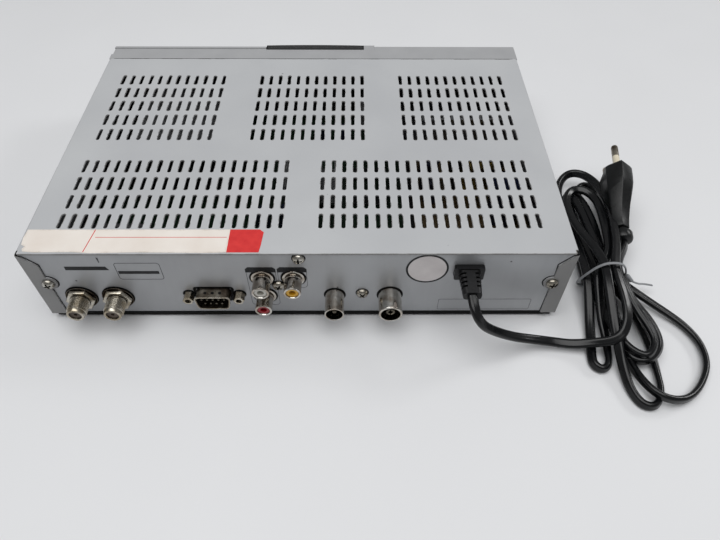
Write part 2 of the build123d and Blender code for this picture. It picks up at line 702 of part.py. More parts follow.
def screened_can(x, y, height):
    """A tin can on the main board, with its lid standing a little proud."""
    top = BOARD_TOP + height
    lid = block((x[0] + CAN_LID, x[1] - CAN_LID), (y[0] + CAN_LID, y[1] - CAN_LID), (top, top + CAN_LID / 2))
    return block(x, y, (BOARD_TOP, top)) + lid


def make_tuner():
    """The screened tuner can behind the two F sockets."""
    x = (TUNER_LEFT, max(F_PLACES) + TUNER_MARGIN)
    y = (PANEL_INSIDE - TUNER_DEPTH, PANEL_INSIDE)
    return screened_can(x, y, TUNER_HEIGHT)


def make_serial_shell():
    """The D-shaped skirt and its fixing plate behind the panel."""
    skirt = along_y(serial_outline(), PORT_X, PORT_HEIGHT, PANEL_INSIDE, REAR + PORT_REACH)
    plate = along_y(
        RectangleRounded(PORT_FLANGE_WIDTH, PORT_FLANGE_TALL, 1.0),
        PORT_X, PORT_HEIGHT, PANEL_INSIDE - PORT_FLANGE, PANEL_INSIDE,
    )
    shell = skirt + plate
    inside = (PANEL_INSIDE - 2 * PORT_FLANGE, REAR + PORT_REACH + 1)
    shell -= along_y(serial_outline(-PORT_WALL), PORT_X, PORT_HEIGHT, *inside)
    return shell - [
        rod(PORT_X + side * JACKSCREW_SPACING / 2, PORT_HEIGHT, JACKSCREW_THREAD, inside[0], REAR)
        for side in (-1, 1)
    ]


def pin_places():
    """Five pins above four, as X and Z."""
    rows = ((5, PIN_ROW_PITCH / 2), (4, -PIN_ROW_PITCH / 2))
    return [
        (PORT_X + (column - (count - 1) / 2) * PIN_PITCH, PORT_HEIGHT + z)
        for count, z in rows
        for column in range(count)
    ]


def make_serial_insert():
    insert = along_y(
        serial_outline(-PORT_WALL), PORT_X, PORT_HEIGHT, PANEL_INSIDE - PORT_FLANGE, REAR + INSERT_REACH
    )
    body = block(
        (PORT_X - PORT_WIDTH / 2 - 1, PORT_X + PORT_WIDTH / 2 + 1),
        (PANEL_INSIDE - PORT_FLANGE - PORT_BODY_DEPTH, PANEL_INSIDE - PORT_FLANGE),
        (BOARD_TOP, PORT_HEIGHT + PORT_TALL / 2 + 1),
    )
    return insert + body - [rod(x, z, PIN_RADIUS, REAR - 4, REAR + 2) for x, z in pin_places()]


def make_serial_pins():
    return [rod(x, z, PIN_RADIUS, REAR - 4, REAR + PIN_REACH) for x, z in pin_places()]


def make_jackscrews():
    hexagon = RegularPolygon(JACKSCREW_FLATS / 2, 6, major_radius=False)
    screws = []
    for side in (-1, 1):
        x = PORT_X + side * JACKSCREW_SPACING / 2
        screw = along_y(hexagon, x, PORT_HEIGHT, REAR, REAR + JACKSCREW_REACH)
        screw += rod(x, PORT_HEIGHT, JACKSCREW_THREAD, PANEL_INSIDE - JACKSCREW_DEPTH, REAR)
        screws.append(screw - rod(x, PORT_HEIGHT, JACKSCREW_BORE, REAR, REAR + JACKSCREW_REACH + 1))
    return screws


def make_phono_barrels():
    barrels = []
    tip = REAR + PHONO_REACH
    for x, z in PHONO_PLACES.values():
        barrel = rod(x, z, PHONO_RADIUS, PANEL_INSIDE, tip)
        barrel += rod(x, z, PHONO_COLLAR, PANEL_INSIDE, REAR + PHONO_COLLAR_REACH)
        barrels.append(barrel - rod(x, z, PHONO_RADIUS - PHONO_WALL, PANEL_INSIDE - 1, tip + 1))
    return barrels


def make_phono_insulator(x, z):
    tip = REAR + PHONO_REACH - PHONO_RECESS
    insulator = rod(x, z, PHONO_RADIUS - PHONO_WALL, PANEL_INSIDE, tip)
    return insulator - rod(x, z, PHONO_BORE, tip - PHONO_BORE_DEPTH, tip + 1)


def make_phono_block():
    """The moulded block that carries the three sockets."""
    xs = [x for x, _ in PHONO_PLACES.values()]
    zs = [z for _, z in PHONO_PLACES.values()]
    body = block(
        (min(xs) - PHONO_BLOCK_SIDE, max(xs) + PHONO_BLOCK_SIDE),
        (PANEL_INSIDE - PHONO_BLOCK_DEPTH, PANEL_INSIDE),
        (BOARD_TOP, max(zs) + PHONO_BLOCK_SIDE),
    )
    return body - rod(*PHONO_SCREW, SCREW_RADIUS, REAR - SCREW_LENGTH, REAR)


def make_aerial_out():
    """The outlet: a plain shell on a slightly thinner neck."""
    neck_end = REAR + AERIAL_NECK_REACH
    shell = rod(AERIAL_OUT_X, AERIAL_HEIGHT, AERIAL_OUT_RADIUS, neck_end, REAR + AERIAL_REACH)
    shell += rod(AERIAL_OUT_X, AERIAL_HEIGHT, AERIAL_OUT_RADIUS - AERIAL_NECK, PANEL_INSIDE, neck_end)
    bore = AERIAL_OUT_RADIUS - AERIAL_OUT_WALL
    return shell - rod(AERIAL_OUT_X, AERIAL_HEIGHT, bore, PANEL_INSIDE - 1, REAR + AERIAL_REACH + 1)


def make_aerial_in():
    """The inlet: a thicker shell, rolled in slightly at its mouth."""
    shell = rod(AERIAL_IN_X, AERIAL_HEIGHT, AERIAL_IN_RADIUS, PANEL_INSIDE, REAR + AERIAL_REACH)
    shell = fillet(shell.edges().filter_by(GeomType.CIRCLE).sort_by(Axis.Y)[-1], 0.5)
    return shell - rod(AERIAL_IN_X, AERIAL_HEIGHT, AERIAL_IN_BORE, PANEL_INSIDE - 1, REAR + AERIAL_REACH + 1)


def make_aerial_insulators():
    floor = REAR + AERIAL_REACH - AERIAL_INSULATOR_DEPTH
    places = (
        (AERIAL_OUT_X, AERIAL_OUT_RADIUS - AERIAL_OUT_WALL, AERIAL_PIN_RADIUS),
        (AERIAL_IN_X, AERIAL_IN_BORE, AERIAL_SLEEVE_RADIUS),
    )
    return [
        along_y(Circle(outer) - Circle(inner), x, AERIAL_HEIGHT, PANEL_INSIDE, floor)
        for x, outer, inner in places
    ]


def make_aerial_contacts():
    """A pin in the outlet and a split sleeve in the inlet."""
    tip = REAR + AERIAL_REACH - AERIAL_CONTACT_RECESS
    pin = rod(AERIAL_OUT_X, AERIAL_HEIGHT, AERIAL_PIN_RADIUS, PANEL_INSIDE, tip)
    pin = fillet(pin.edges().filter_by(GeomType.CIRCLE).sort_by(Axis.Y)[-1], 0.6)
    sleeve = rod(AERIAL_IN_X, AERIAL_HEIGHT, AERIAL_SLEEVE_RADIUS, PANEL_INSIDE, tip)
    sleeve -= rod(AERIAL_IN_X, AERIAL_HEIGHT, AERIAL_PIN_RADIUS, REAR + 1, tip + 1)
    half = SLEEVE_SPLIT / 2
    split_z = (AERIAL_HEIGHT - AERIAL_IN_RADIUS, AERIAL_HEIGHT + AERIAL_IN_RADIUS)
    sleeve -= block((AERIAL_IN_X - half, AERIAL_IN_X + half), (tip - SLEEVE_SPLIT_DEPTH, tip + 1), split_z)
    return [pin, sleeve]


def make_modulator():
    """The screened modulator can behind the aerial sockets."""
    x = (AERIAL_IN_X - MODULATOR_MARGIN, AERIAL_OUT_X + MODULATOR_MARGIN)
    y = (PANEL_INSIDE - MODULATOR_DEPTH, PANEL_INSIDE)
    return screened_can(x, y, MODULATOR_HEIGHT) - rod(*AERIAL_SCREW, SCREW_RADIUS, REAR - SCREW_LENGTH, REAR)


# ================================================================ strain relief, cord and plug
def make_gland():
    """Rubber strain relief: a collar on each side of the panel, and a slotted boot outside."""
    neck = Rectangle(GLAND_NECK_WIDTH, GLAND_NECK_TALL)
    collar = RectangleRounded(GLAND_BLOCK_WIDTH, GLAND_BLOCK_TALL, 1.0)
    gland = along_y(collar, GLAND_X, GLAND_HEIGHT, REAR, REAR + GLAND_BLOCK)
    gland += along_y(neck, GLAND_X, GLAND_HEIGHT, PANEL_INSIDE, REAR)
    gland += along_y(collar, GLAND_X, GLAND_HEIGHT, PANEL_INSIDE - GLAND_TAIL, PANEL_INSIDE)
    root = Plane((GLAND_X, REAR + GLAND_BLOCK, GLAND_HEIGHT), x_dir=(1, 0, 0), z_dir=(0, 1, 0))
    end = Plane((GLAND_X, REAR + GLAND_REACH, GLAND_HEIGHT - BOOT_DROP), x_dir=(1, 0, 0), z_dir=(0, 1, 0))
    boot = loft(
        [
            (root * RectangleRounded(BOOT_WIDTH, BOOT_TALL, 2.0)).face(),
            (end * RectangleRounded(BOOT_END_WIDTH, BOOT_END_TALL, 2.0)).face(),
        ]
    )
    half = BOOT_WIDTH / 2
    for row in range(BOOT_RIB_ROWS):
        y = REAR + GLAND_BLOCK + BOOT_RIB_PITCH * (row + 0.55)
        for side in (-1, 1):
            x = (GLAND_X + side * (half - BOOT_RIB_DEPTH), GLAND_X + side * (half + 1))
            boot -= block(x, (y, y + BOOT_RIB_SLOT), (GLAND_HEIGHT - BOOT_TALL, GLAND_HEIGHT + BOOT_TALL))
    return gland + boot


def beside_gland(x, past, z):
    """A point of the cord, from X off the strain relief's axis and Y past the rear panel."""
    return Vector(GLAND_X + x, REAR + past, z)


def bend_radii(points, largest=math.inf):
    """The largest arc at each corner that its two runs allow."""
    radii = []
    for before, here, after in zip(points, points[1:], points[2:]):
        arriving, leaving = here - before, after - here
        turn = math.radians(arriving.get_angle(leaving))
        radii.append(min(largest, BEND_SHARE * min(arriving.length, leaving.length) / math.tan(turn / 2)))
    return radii


def round_tube(name, route, radius):
    """A round tube along a route of straight runs joined by tangent arcs."""
    points = [beside_gland(*place) for place in route]
    radii = bend_radii(points)
    path = FilletPolyline(*points, radius=radii)
    start = Plane(points[0], z_dir=points[1] - points[0])
    tube = sweep(start * Circle(radius), path=path)
    share = tube.volume / (math.pi * radius**2 * path.length)
    print(name, "length", round(path.length, 1), "volume share", round(share, 4))
    print(name, "radii", [round(bend, 1) for bend in radii])
    return tube


def make_hank():
    """The outer shape of the tied hank: the bundle, narrow at its tie, and the loops beside it."""
    sections = []
    for x, past, wide, low, high in HANK_SECTIONS:
        plane = Plane(beside_gland(x, past, (low + high) / 2), x_dir=(1, 0, 0), z_dir=(0, 1, 0))
        sections.append((plane * RectangleRounded(wide, high - low, HANK_CORNER)).face())
    hank = loft(sections, ruled=True)
    lowest = HANK_SECTIONS[0][3]
    for x, past, half_x, half_y, turn, height in HANK_LOOPS:
        hank += extrude(Pos(beside_gland(x, past, lowest)) * Rot(Z=turn) * Ellipse(half_x, half_y), height)
    return hank


def make_tie():
    """A flat ring round the waist of the hank and its twisted end."""
    waist = HANK_SECTIONS[3]
    x, past, wide, low, high = waist
    tall = high - low
    inner = RectangleRounded(wide, tall, HANK_CORNER)
    outer = RectangleRounded(wide + 2 * TIE_THICKNESS, tall + 2 * TIE_THICKNESS, HANK_CORNER + TIE_THICKNESS)
    middle = REAR + (past + HANK_SECTIONS[4][1]) / 2
    ring_y = (middle - TIE_WIDTH / 2, middle + TIE_WIDTH / 2)
    ring = along_y(outer - inner, GLAND_X + x, (low + high) / 2, *ring_y)
    return ring + round_tube("tie_tail", TIE_TAIL, TIE_WIDTH / 2)


def place_plug(part):
    """From the plug's own frame: pin face at the origin, pins along -Y, wide side along Z."""
    return Pos(beside_gland(*PLUG_FACE)) * Rot(Z=PLUG_TURN) * part


def plug_section(y, share):
    """The plug's six-sided section."""
    wide, flat, thick = (share * size for size in (PLUG_HALF_WIDTH, PLUG_FLAT_HALF, PLUG_HALF_THICKNESS))
    corners = [(0, wide), (thick, flat), (thick, -flat), (0, -wide), (-thick, -flat), (-thick, flat)]
    plane = Plane((0, y, 0), x_dir=(1, 0, 0), z_dir=(0, 1, 0))
    return (plane * make_face(Polyline(*corners, close=True))).face()


def make_plug_body():
    body = loft([plug_section(0, 1.0), plug_section(PLUG_SHOULDER, 1.0)], ruled=True)
    body += loft([plug_section(PLUG_SHOULDER, 1.0), plug_section(PLUG_NECK, PLUG_NECK_SHARE)], ruled=True)
    body += rod(0, 0, PLUG_HALF_THICKNESS * 0.5, PLUG_NECK - 1, PLUG_LENGTH - PLUG_COLLAR_LENGTH + 1)
    collar = rod(0, 0, PLUG_COLLAR_RADIUS, PLUG_LENGTH - PLUG_COLLAR_LENGTH, PLUG_LENGTH)
    body += fillet(collar.edges().filter_by(GeomType.CIRCLE), 2.0)
    bores = [rod(0, side * PLUG_PIN_PITCH / 2, PLUG_CORE_RADIUS, -1, PLUG_SHOULDER) for side in (-1, 1)]
    return place_plug(body - bores)


def make_plug_pins():
    pins = []
    for side in (-1, 1):
        z = side * PLUG_PIN_PITCH / 2
        tip = rod(0, z, PLUG_PIN_RADIUS, -PLUG_PIN_LENGTH, -PLUG_SLEEVE_LENGTH)
        tip = fillet(tip.edges().filter_by(GeomType.CIRCLE).sort_by(Axis.Y)[0], 1.2)
        core = rod(0, z, PLUG_CORE_RADIUS, -PLUG_SLEEVE_LENGTH - 1, PLUG_SHOULDER)
        pins.append(place_plug(tip + core))
    return pins


def make_plug_sleeves():
    ring = Circle(PLUG_PIN_RADIUS) - Circle(PLUG_CORE_RADIUS)
    pin_z = (-PLUG_PIN_PITCH / 2, PLUG_PIN_PITCH / 2)
    return [place_plug(along_y(ring, 0, z, -PLUG_SLEEVE_LENGTH, 0)) for z in pin_z]


# ================================================================ fascia, door and lens
DOOR_SPACE_LEFT = DOOR_LEFT - DOOR_GAP
DOOR_RIGHT = HALF_WIDTH - DOOR_END
DOOR_BACK = FASCIA_FRONT + DOOR_THICKNESS
TUB_FRONT = DOOR_BACK + DOOR_GAP
TUB_FLOOR = DOOR_BACK + RECESS_FLOOR_DEPTH
TUB_BACK = TUB_FLOOR + RECESS_WALL
HINGE_Y = FASCIA_FRONT + DOOR_THICKNESS / 2
HINGE_Z = DOOR_BOTTOM + DOOR_THICKNESS / 2
EAR_LEFT = HALF_WIDTH - EAR_WIDTH
FASCIA_INSIDE = FASCIA_FRONT + FASCIA_WALL
FRONT_BOARD_BACK = COVER_FRONT - FRONT_BOARD_GAP
FRONT_BOARD_FACE = FRONT_BOARD_BACK - BOARD
LENS_BACK = FASCIA_FRONT + LENS_FACE
DISPLAY_FRONT = LENS_BACK + DISPLAY_LENS_GAP


def clip_z():
    """The limits in Z of the upper and the lower clips."""
    low = FASCIA_BOTTOM + CLIP_INSET + SHEET
    high = CASE_HEIGHT - CLIP_INSET - SHEET
    return ((high - CLIP_THICKNESS, high), (low, low + CLIP_THICKNESS))


def front_windows():
    """Openings in the chassis front: the module bay, the ribbon cable and the fascia's clips."""
    y = (COVER_FRONT - 1, COVER_FRONT + 2 * SHEET)
    bay_left = BAY_X - CARD_WIDTH / 2 - BAY_WALL - CAGE
    bay_right = EJECTOR_X + EJECTOR_CAP_WIDTH
    bay_top = UPPER_CARD + CARD_TALL / 2 + BAY_ROOF + CAGE
    windows = [block((bay_left, bay_right), y, (BOARD_TOP, bay_top))]
    ribbon_half = RIBBON_WIDTH / 2 + RIBBON_BEND
    ribbon_z = FRONT_BOARD_BOTTOM + RIBBON_HEIGHT
    across_x = (RIBBON_X - ribbon_half, RIBBON_X + ribbon_half)
    windows.append(block(across_x, y, (ribbon_z - 2 * RIBBON_BEND, ribbon_z + 2 * RIBBON_BEND)))
    for x in CLIP_X:
        half = CLIP_WIDTH / 2 + CLIP_GAP
        for low, high in clip_z():
            windows.append(block((x - half, x + half), y, (low - CLIP_GAP, high + CLIP_GAP)))
    return windows


def fascia_clips():
    """Barbed tongues that hold the fascia in the slots of the chassis front."""
    clips = []
    behind = COVER_FRONT + CLIP_REACH
    root_front = COVER_FRONT - CLIP_REACH
    for x in CLIP_X:
        for (low, high), outwards in zip(clip_z(), (1, -1)):
            across_x = (x - CLIP_WIDTH / 2, x + CLIP_WIDTH / 2)
            clips.append(block(across_x, (root_front, behind), (low, high)))
            wall = CASE_HEIGHT - FASCIA_WALL / 2 if outwards > 0 else FASCIA_BOTTOM + FASCIA_WALL / 2
            root = sorted((low if outwards > 0 else high, wall))
            clips.append(block(across_x, (root_front, COVER_FRONT - CLIP_ROOT_GAP), root))
            edge = high if outwards > 0 else low
            gap = COVER_FRONT + SHEET + 0.1
            barb = edge + outwards * (CLIP_GAP + CLIP_BARB)
            profile = make_face(Polyline((gap, edge), (behind, edge), (gap, barb), close=True))
            clips.append(extrude(Plane.YZ.offset(x) * profile, CLIP_WIDTH / 2, both=True))
    return clips


def lens_seat():
    """The ledge behind the lens, and the openings for the lens and the display."""
    left, right = LENS_LEFT - LENS_GAP, DOOR_SPACE_LEFT
    back = FASCIA_FRONT + LENS_TOP_RETURN
    top = CASE_HEIGHT - LENS_FACE
    ledge = block((left - 2, right), (LENS_BACK, LENS_BACK + LENS_FACE), (LENS_BOTTOM - 2, top))
    ledge += block((left - 2, right), (LENS_BACK, back + 2), (top - LENS_FACE, top))
    pocket = block((left, right), (FASCIA_FRONT - 1, LENS_BACK), (LENS_BOTTOM - LENS_GAP, CASE_HEIGHT + 1))
    pocket += block((left, right), (FASCIA_FRONT - 1, back + LENS_GAP), (top, CASE_HEIGHT + 1))
    window = block(
        (left + LENS_LEDGE, right - RECESS_WALL - LENS_LEDGE),
        (FASCIA_FRONT, LENS_BACK + LENS_FACE + 1),
        (LENS_BOTTOM + LENS_LEDGE, top - LENS_FACE - 0.5),
    )
    return ledge, pocket + window


def button_hole(x, margin):
    """The outline of a button, larger by a margin, on the front of the fascia."""
    if x == STANDBY_X:
        return Circle(STANDBY_RADIUS + margin)
    return RectangleRounded(
        CHANNEL_WIDTH + 2 * margin, CHANNEL_TALL + 2 * margin, CHANNEL_CORNER + margin
    )


def board_posts():
    """X and Z of the posts that carry the front board."""
    xs = (FRONT_BOARD_LEFT + FRONT_POST_INSET, LENS_LEFT - 2 - FRONT_POST_INSET)
    zs = (FRONT_BOARD_BOTTOM + FRONT_POST_INSET, FRONT_BOARD_TOP - FRONT_POST_INSET)
    return [(x, z) for x in xs for z in zs]


def make_fascia():
    """The moulded front: a hollow shell, a tub behind the door, hinge bores and the lens seat."""
    outside = block((-HALF_WIDTH, HALF_WIDTH), (FASCIA_FRONT, COVER_FRONT), (FASCIA_BOTTOM, CASE_HEIGHT))
    front_edges = outside.faces().sort_by(Axis.Y)[0].edges()
    fascia = fillet(front_edges, FASCIA_EDGE)
    inside_z = (FASCIA_BOTTOM + FASCIA_WALL, CASE_HEIGHT - FASCIA_WALL)
    tub_left = DOOR_SPACE_LEFT - RECESS_WALL
    fascia -= block((-HALF_WIDTH + FASCIA_WALL, tub_left), (FASCIA_INSIDE, COVER_FRONT + 1), inside_z)
    fascia -= block((tub_left - 1, HALF_WIDTH - FASCIA_WALL), (TUB_BACK, COVER_FRONT + 1), inside_z)
    fascia -= block(
        (DOOR_SPACE_LEFT, HALF_WIDTH - FASCIA_WALL),
        (FASCIA_INSIDE, COVER_FRONT),
        (inside_z[0], DOOR_BOTTOM - DOOR_GAP - RECESS_WALL),
    )
    door_space = (DOOR_BOTTOM - DOOR_GAP, CASE_HEIGHT + 1)
    fascia -= block((DOOR_SPACE_LEFT, HALF_WIDTH + 1), (FASCIA_FRONT - 1, TUB_FRONT), door_space)
    fascia -= block((RECESS_LEFT, RECESS_RIGHT), (TUB_FRONT - 1, TUB_FLOOR), (RECESS_BOTTOM, RECESS_TOP))
    # The ear at the right end and the boss at the left end hold the door's two pins.
    fascia += block((EAR_LEFT, HALF_WIDTH), (FASCIA_FRONT, TUB_FRONT), (DOOR_BOTTOM - DOOR_GAP, HINGE_Z))
    fascia += across(HINGE_Y, HINGE_Z, DOOR_THICKNESS / 2, EAR_LEFT, HALF_WIDTH)
    bore = HINGE_RADIUS + HINGE_CLEARANCE
    boss_left = DOOR_SPACE_LEFT - HINGE_BORE_LENGTH - RECESS_WALL
    fascia += block((boss_left, tub_left), (FASCIA_INSIDE - 1, FASCIA_INSIDE + 2), (HINGE_Z - 3, HINGE_Z + 3))
    fascia -= across(HINGE_Y, HINGE_Z, bore, EAR_LEFT - 1, EAR_LEFT + HINGE_BORE_LENGTH)
    fascia -= across(HINGE_Y, HINGE_Z, bore, DOOR_SPACE_LEFT - HINGE_BORE_LENGTH, DOOR_SPACE_LEFT + 1)
    # The finger notch at the end of the door.
    fascia -= block(
        (HALF_WIDTH - NOTCH_DEPTH, HALF_WIDTH + 1),
        (TUB_FRONT - 1, DOOR_BACK + NOTCH_LENGTH),
        (CASE_HEIGHT - NOTCH_HEIGHT, CASE_HEIGHT + 1),
    )
    ledge, opening = lens_seat()
    fascia += ledge
    fascia -= opening
    for x, z in board_posts():
        fascia += rod(x, z, FRONT_POST_RADIUS, FASCIA_INSIDE - 1, FRONT_BOARD_FACE)
        fascia -= rod(x, z, SCREW_RADIUS, FASCIA_INSIDE + 2, FRONT_BOARD_FACE + 1)
    for x in (STANDBY_X, *CHANNEL_X.values()):
        hole = button_hole(x, BUTTON_CLEARANCE)
        fascia -= along_y(hole, x, BUTTON_HEIGHT, FASCIA_FRONT - 1, FASCIA_INSIDE + 1)
    fascia -= rod(LIGHT_X, BUTTON_HEIGHT, LIGHT_RADIUS, FASCIA_FRONT - 1, FASCIA_INSIDE + 1)
    fascia += fascia_clips()
    return fascia - bay_mouths()


def bay_mouths():
    """The openings in the tub's floor: two for the modules and two for the ejector buttons."""
    y = (TUB_FLOOR - 1, TUB_BACK + 1)
    mouths = []
    for z in (LOWER_CARD, UPPER_CARD):
        card = Rectangle(CARD_WIDTH + 2 * CARD_LEAD, CARD_TALL + 2 * CARD_LEAD)
        cap = Rectangle(EJECTOR_CAP_WIDTH + 2 * EJECTOR_CLEARANCE, EJECTOR_CAP_TALL + 2 * EJECTOR_CLEARANCE)
        mouths += [along_y(card, BAY_X, z, *y), along_y(cap, EJECTOR_X, z, *y)]
    return mouths


def make_door():
    """The flap: a thin skin with a rim, round along its lower edge, with two hinge pins."""
    half = DOOR_THICKNESS / 2
    door = block((DOOR_LEFT, DOOR_RIGHT), (FASCIA_FRONT, DOOR_BACK), (HINGE_Z, CASE_HEIGHT))
    door = fillet(door.edges().filter_by(Axis.X).group_by(Axis.Y)[0].sort_by(Axis.Z)[-1], FASCIA_EDGE)
    door += across(HINGE_Y, HINGE_Z, half, DOOR_LEFT, DOOR_RIGHT)
    door -= block(
        (DOOR_LEFT + DOOR_RIM, DOOR_RIGHT - DOOR_RIM),
        (FASCIA_FRONT + DOOR_SKIN, DOOR_BACK + 1),
        (HINGE_Z + DOOR_RIM, CASE_HEIGHT - DOOR_RIM),
    )
    clear_of_ear = EAR_LEFT - DOOR_GAP
    ear_space = (DOOR_BOTTOM - 1, HINGE_Z + half + DOOR_GAP)
    door -= block((clear_of_ear, HALF_WIDTH), (FASCIA_FRONT - 1, DOOR_BACK + 1), ear_space)
    door += across(HINGE_Y, HINGE_Z, HINGE_RADIUS, DOOR_LEFT - HINGE_PIN_LENGTH, DOOR_LEFT + 1)
    door += across(HINGE_Y, HINGE_Z, HINGE_RADIUS, clear_of_ear - 1, clear_of_ear + HINGE_PIN_LENGTH)
    middle = (DOOR_LEFT + DOOR_RIGHT) / 2
    catch_top = CASE_HEIGHT - CATCH_DROP
    door += block(
        (middle - CATCH_WIDTH / 2, middle + CATCH_WIDTH / 2),
        (FASCIA_FRONT + DOOR_SKIN, DOOR_BACK + CATCH_REACH),
        (catch_top - CATCH_THICKNESS, catch_top),
    )
    return door


def make_lens():
    """The dark lens: a bulging face that turns back over the top of the fascia."""
    left, right = LENS_LEFT, DOOR_LEFT - DOOR_GAP
    middle = (left + right) / 2
    front = FASCIA_FRONT
    section = make_face(
        Polyline((left, front), (left, LENS_BACK), (right, LENS_BACK), (right, front))
        + ThreePointArc((right, front), (middle, front - LENS_BULGE), (left, front))
    )
    face = extrude(Plane.XY.offset(LENS_BOTTOM) * section, CASE_HEIGHT - LENS_BOTTOM)
    return face + block(
        (left, right), (LENS_BACK - 1, FASCIA_FRONT + LENS_TOP_RETURN), (CASE_HEIGHT - LENS_FACE, CASE_HEIGHT)
    )


def make_display():
    """The fluorescent display: a glass envelope on a carrier."""
    glass = Rectangle(DISPLAY_WIDTH, DISPLAY_TALL)
    carrier = Rectangle(DISPLAY_WIDTH - 2 * DISPLAY_CARRIER_INSET, DISPLAY_TALL - 2 * DISPLAY_CARRIER_INSET)
    glass_back = DISPLAY_FRONT + DISPLAY_GLASS
    module = along_y(glass, DISPLAY_X, DISPLAY_HEIGHT, DISPLAY_FRONT, glass_back)
    return module + along_y(carrier, DISPLAY_X, DISPLAY_HEIGHT, glass_back - 1, FRONT_BOARD_FACE)


def make_front_board():
    y = (FRONT_BOARD_FACE, FRONT_BOARD_BACK)
    board = block((FRONT_BOARD_LEFT, FRONT_BOARD_RIGHT), y, (FRONT_BOARD_BOTTOM, FRONT_BOARD_TOP))
    return board - [rod(x, z, BOARD_HOLE_RADIUS, y[0] - 1, y[1] + 1) for x, z in board_posts()]


def make_front_board_screws():
    return [
        pan_screw(x, FRONT_BOARD_BACK, z, length=FRONT_SCREW_LENGTH, head=BOARD_SCREW_HEAD)
        for x, z in board_posts()
    ]


def make_switches():
    """Tact switches with round plungers, on the front board."""
    switches = []
    plunger = FRONT_BOARD_FACE - SWITCH_DEPTH
    for x in (STANDBY_X, *CHANNEL_X.values()):
        body = along_y(Rectangle(SWITCH_SIDE, SWITCH_SIDE), x, BUTTON_HEIGHT, plunger, FRONT_BOARD_FACE)
        switches.append(body + rod(x, BUTTON_HEIGHT, PLUNGER_RADIUS, plunger - PLUNGER_REACH, plunger))
    return switches


def make_light():
    """The standby light: a light pipe that stands on its lamp."""
    pipe = rod(LIGHT_X, BUTTON_HEIGHT, LIGHT_RADIUS, FASCIA_FRONT - LIGHT_PROUD, FRONT_BOARD_FACE)
    pipe = fillet(pipe.edges().filter_by(GeomType.CIRCLE).sort_by(Axis.Y)[0], LIGHT_EDGE)
    flange = LIGHT_RADIUS + LIGHT_FLANGE
    return pipe + rod(LIGHT_X, BUTTON_HEIGHT, flange, FASCIA_INSIDE, FASCIA_INSIDE + LIGHT_FLANGE)


def make_button(x):
    """A cap through the fascia, a flange behind its wall and a post to the switch."""
    front = FASCIA_FRONT - BUTTON_PROUD
    flange = FASCIA_INSIDE + BUTTON_CLEARANCE
    plunger = FRONT_BOARD_FACE - SWITCH_DEPTH - PLUNGER_REACH
    cap = along_y(button_hole(x, 0), x, BUTTON_HEIGHT, front, flange)
    cap = fillet(cap.faces().sort_by(Axis.Y)[0].edges(), BUTTON_EDGE)
    cap += along_y(button_hole(x, BUTTON_FLANGE), x, BUTTON_HEIGHT, flange, flange + BUTTON_FLANGE_WALL)
    return cap + rod(x, BUTTON_HEIGHT, BUTTON_POST_RADIUS, flange, plunger - PLUNGER_GAP - BUTTON_TRAVEL)


# ================================================================ module bay
def bay_limits():
    half = CARD_WIDTH / 2 + BAY_WALL
    top = UPPER_CARD + CARD_TALL / 2 + BAY_ROOF
    return (BAY_X - half, BAY_X + half), (TUB_BACK, TUB_BACK + CARD_DEPTH + BAY_BACK), (BOARD_TOP, top)


def make_bay_frame():
    """The guide frame of the two module slots, with the ejectors' guides on its side."""
    x, y, z = bay_limits()
    frame = block(x, y, z)
    card = Rectangle(CARD_WIDTH, CARD_TALL)
    heights = (LOWER_CARD, UPPER_CARD)
    frame -= [along_y(card, BAY_X, height, y[0] - 1, y[0] + CARD_DEPTH) for height in heights]
    rib = EJECTOR_ROD / 2 + EJECTOR_CLEARANCE
    for start in EJECTOR_GUIDES:
        guide_y = (COVER_FRONT + start, COVER_FRONT + start + EJECTOR_GUIDE)
        frame += block((x[1] - 1, EJECTOR_X + rib + 2), guide_y, z)
    hole = Rectangle(2 * rib, EJECTOR_ROD_TALL + 2 * EJECTOR_CLEARANCE)
    past = COVER_FRONT + max(EJECTOR_GUIDES) + 2 * EJECTOR_GUIDE
    return frame - [along_y(hole, EJECTOR_X, height, TUB_BACK, past) for height in heights]


def make_bay_cage():
    """The folded steel cage over the frame."""
    x, y, z = bay_limits()
    back = (COVER_FRONT + 6, COVER_FRONT + min(EJECTOR_GUIDES) - 1)
    side = block((x[1], x[1] + CAGE), back, z)
    cage = block((x[0] - CAGE, x[1] + CAGE), (back[0], y[1]), (z[1], z[1] + CAGE))
    return cage + block((x[0] - CAGE, x[0]), (back[0], y[1]), z) + side


def make_ejector(z):
    """A cap behind the door on a flat rod, shown pushed in."""
    front = TUB_FLOOR - EJECTOR_PROUD
    cap_end = front + EJECTOR_CAP_DEPTH
    cap = along_y(Rectangle(EJECTOR_CAP_WIDTH, EJECTOR_CAP_TALL), EJECTOR_X, z, front, cap_end)
    cap = fillet(cap.faces().sort_by(Axis.Y)[0].edges(), EJECTOR_CAP_EDGE)
    bar = Rectangle(EJECTOR_ROD, EJECTOR_ROD_TALL)
    return cap + along_y(bar, EJECTOR_X, z, cap_end, cap_end + EJECTOR_ROD_LENGTH)


# ================================================================ boards and what stands on them
def board_limits(left, right, depth):
    rear = PANEL_INSIDE - BOARD_REAR_GAP
    return (left, right), (rear - depth, rear), (BOARD_UNDERSIDE, BOARD_TOP)


def make_board(left, right, depth, standoffs):
    board = block(*board_limits(left, right, depth))
    return board - [
        Pos(x, REAR - back, BOARD_TOP) * Cylinder(BOARD_HOLE_RADIUS, 4 * BOARD) for x, back in standoffs
    ]


def make_standoffs():
    hexagon = RegularPolygon(STANDOFF_FLATS / 2, 6, major_radius=False) - Circle(SCREW_RADIUS)
    floor = FOOT_HEIGHT + SHEET
    places = MAIN_STANDOFFS + POWER_STANDOFFS
    return [extrude(Pos(x, REAR - back, floor) * hexagon, STANDOFF) for x, back in places]


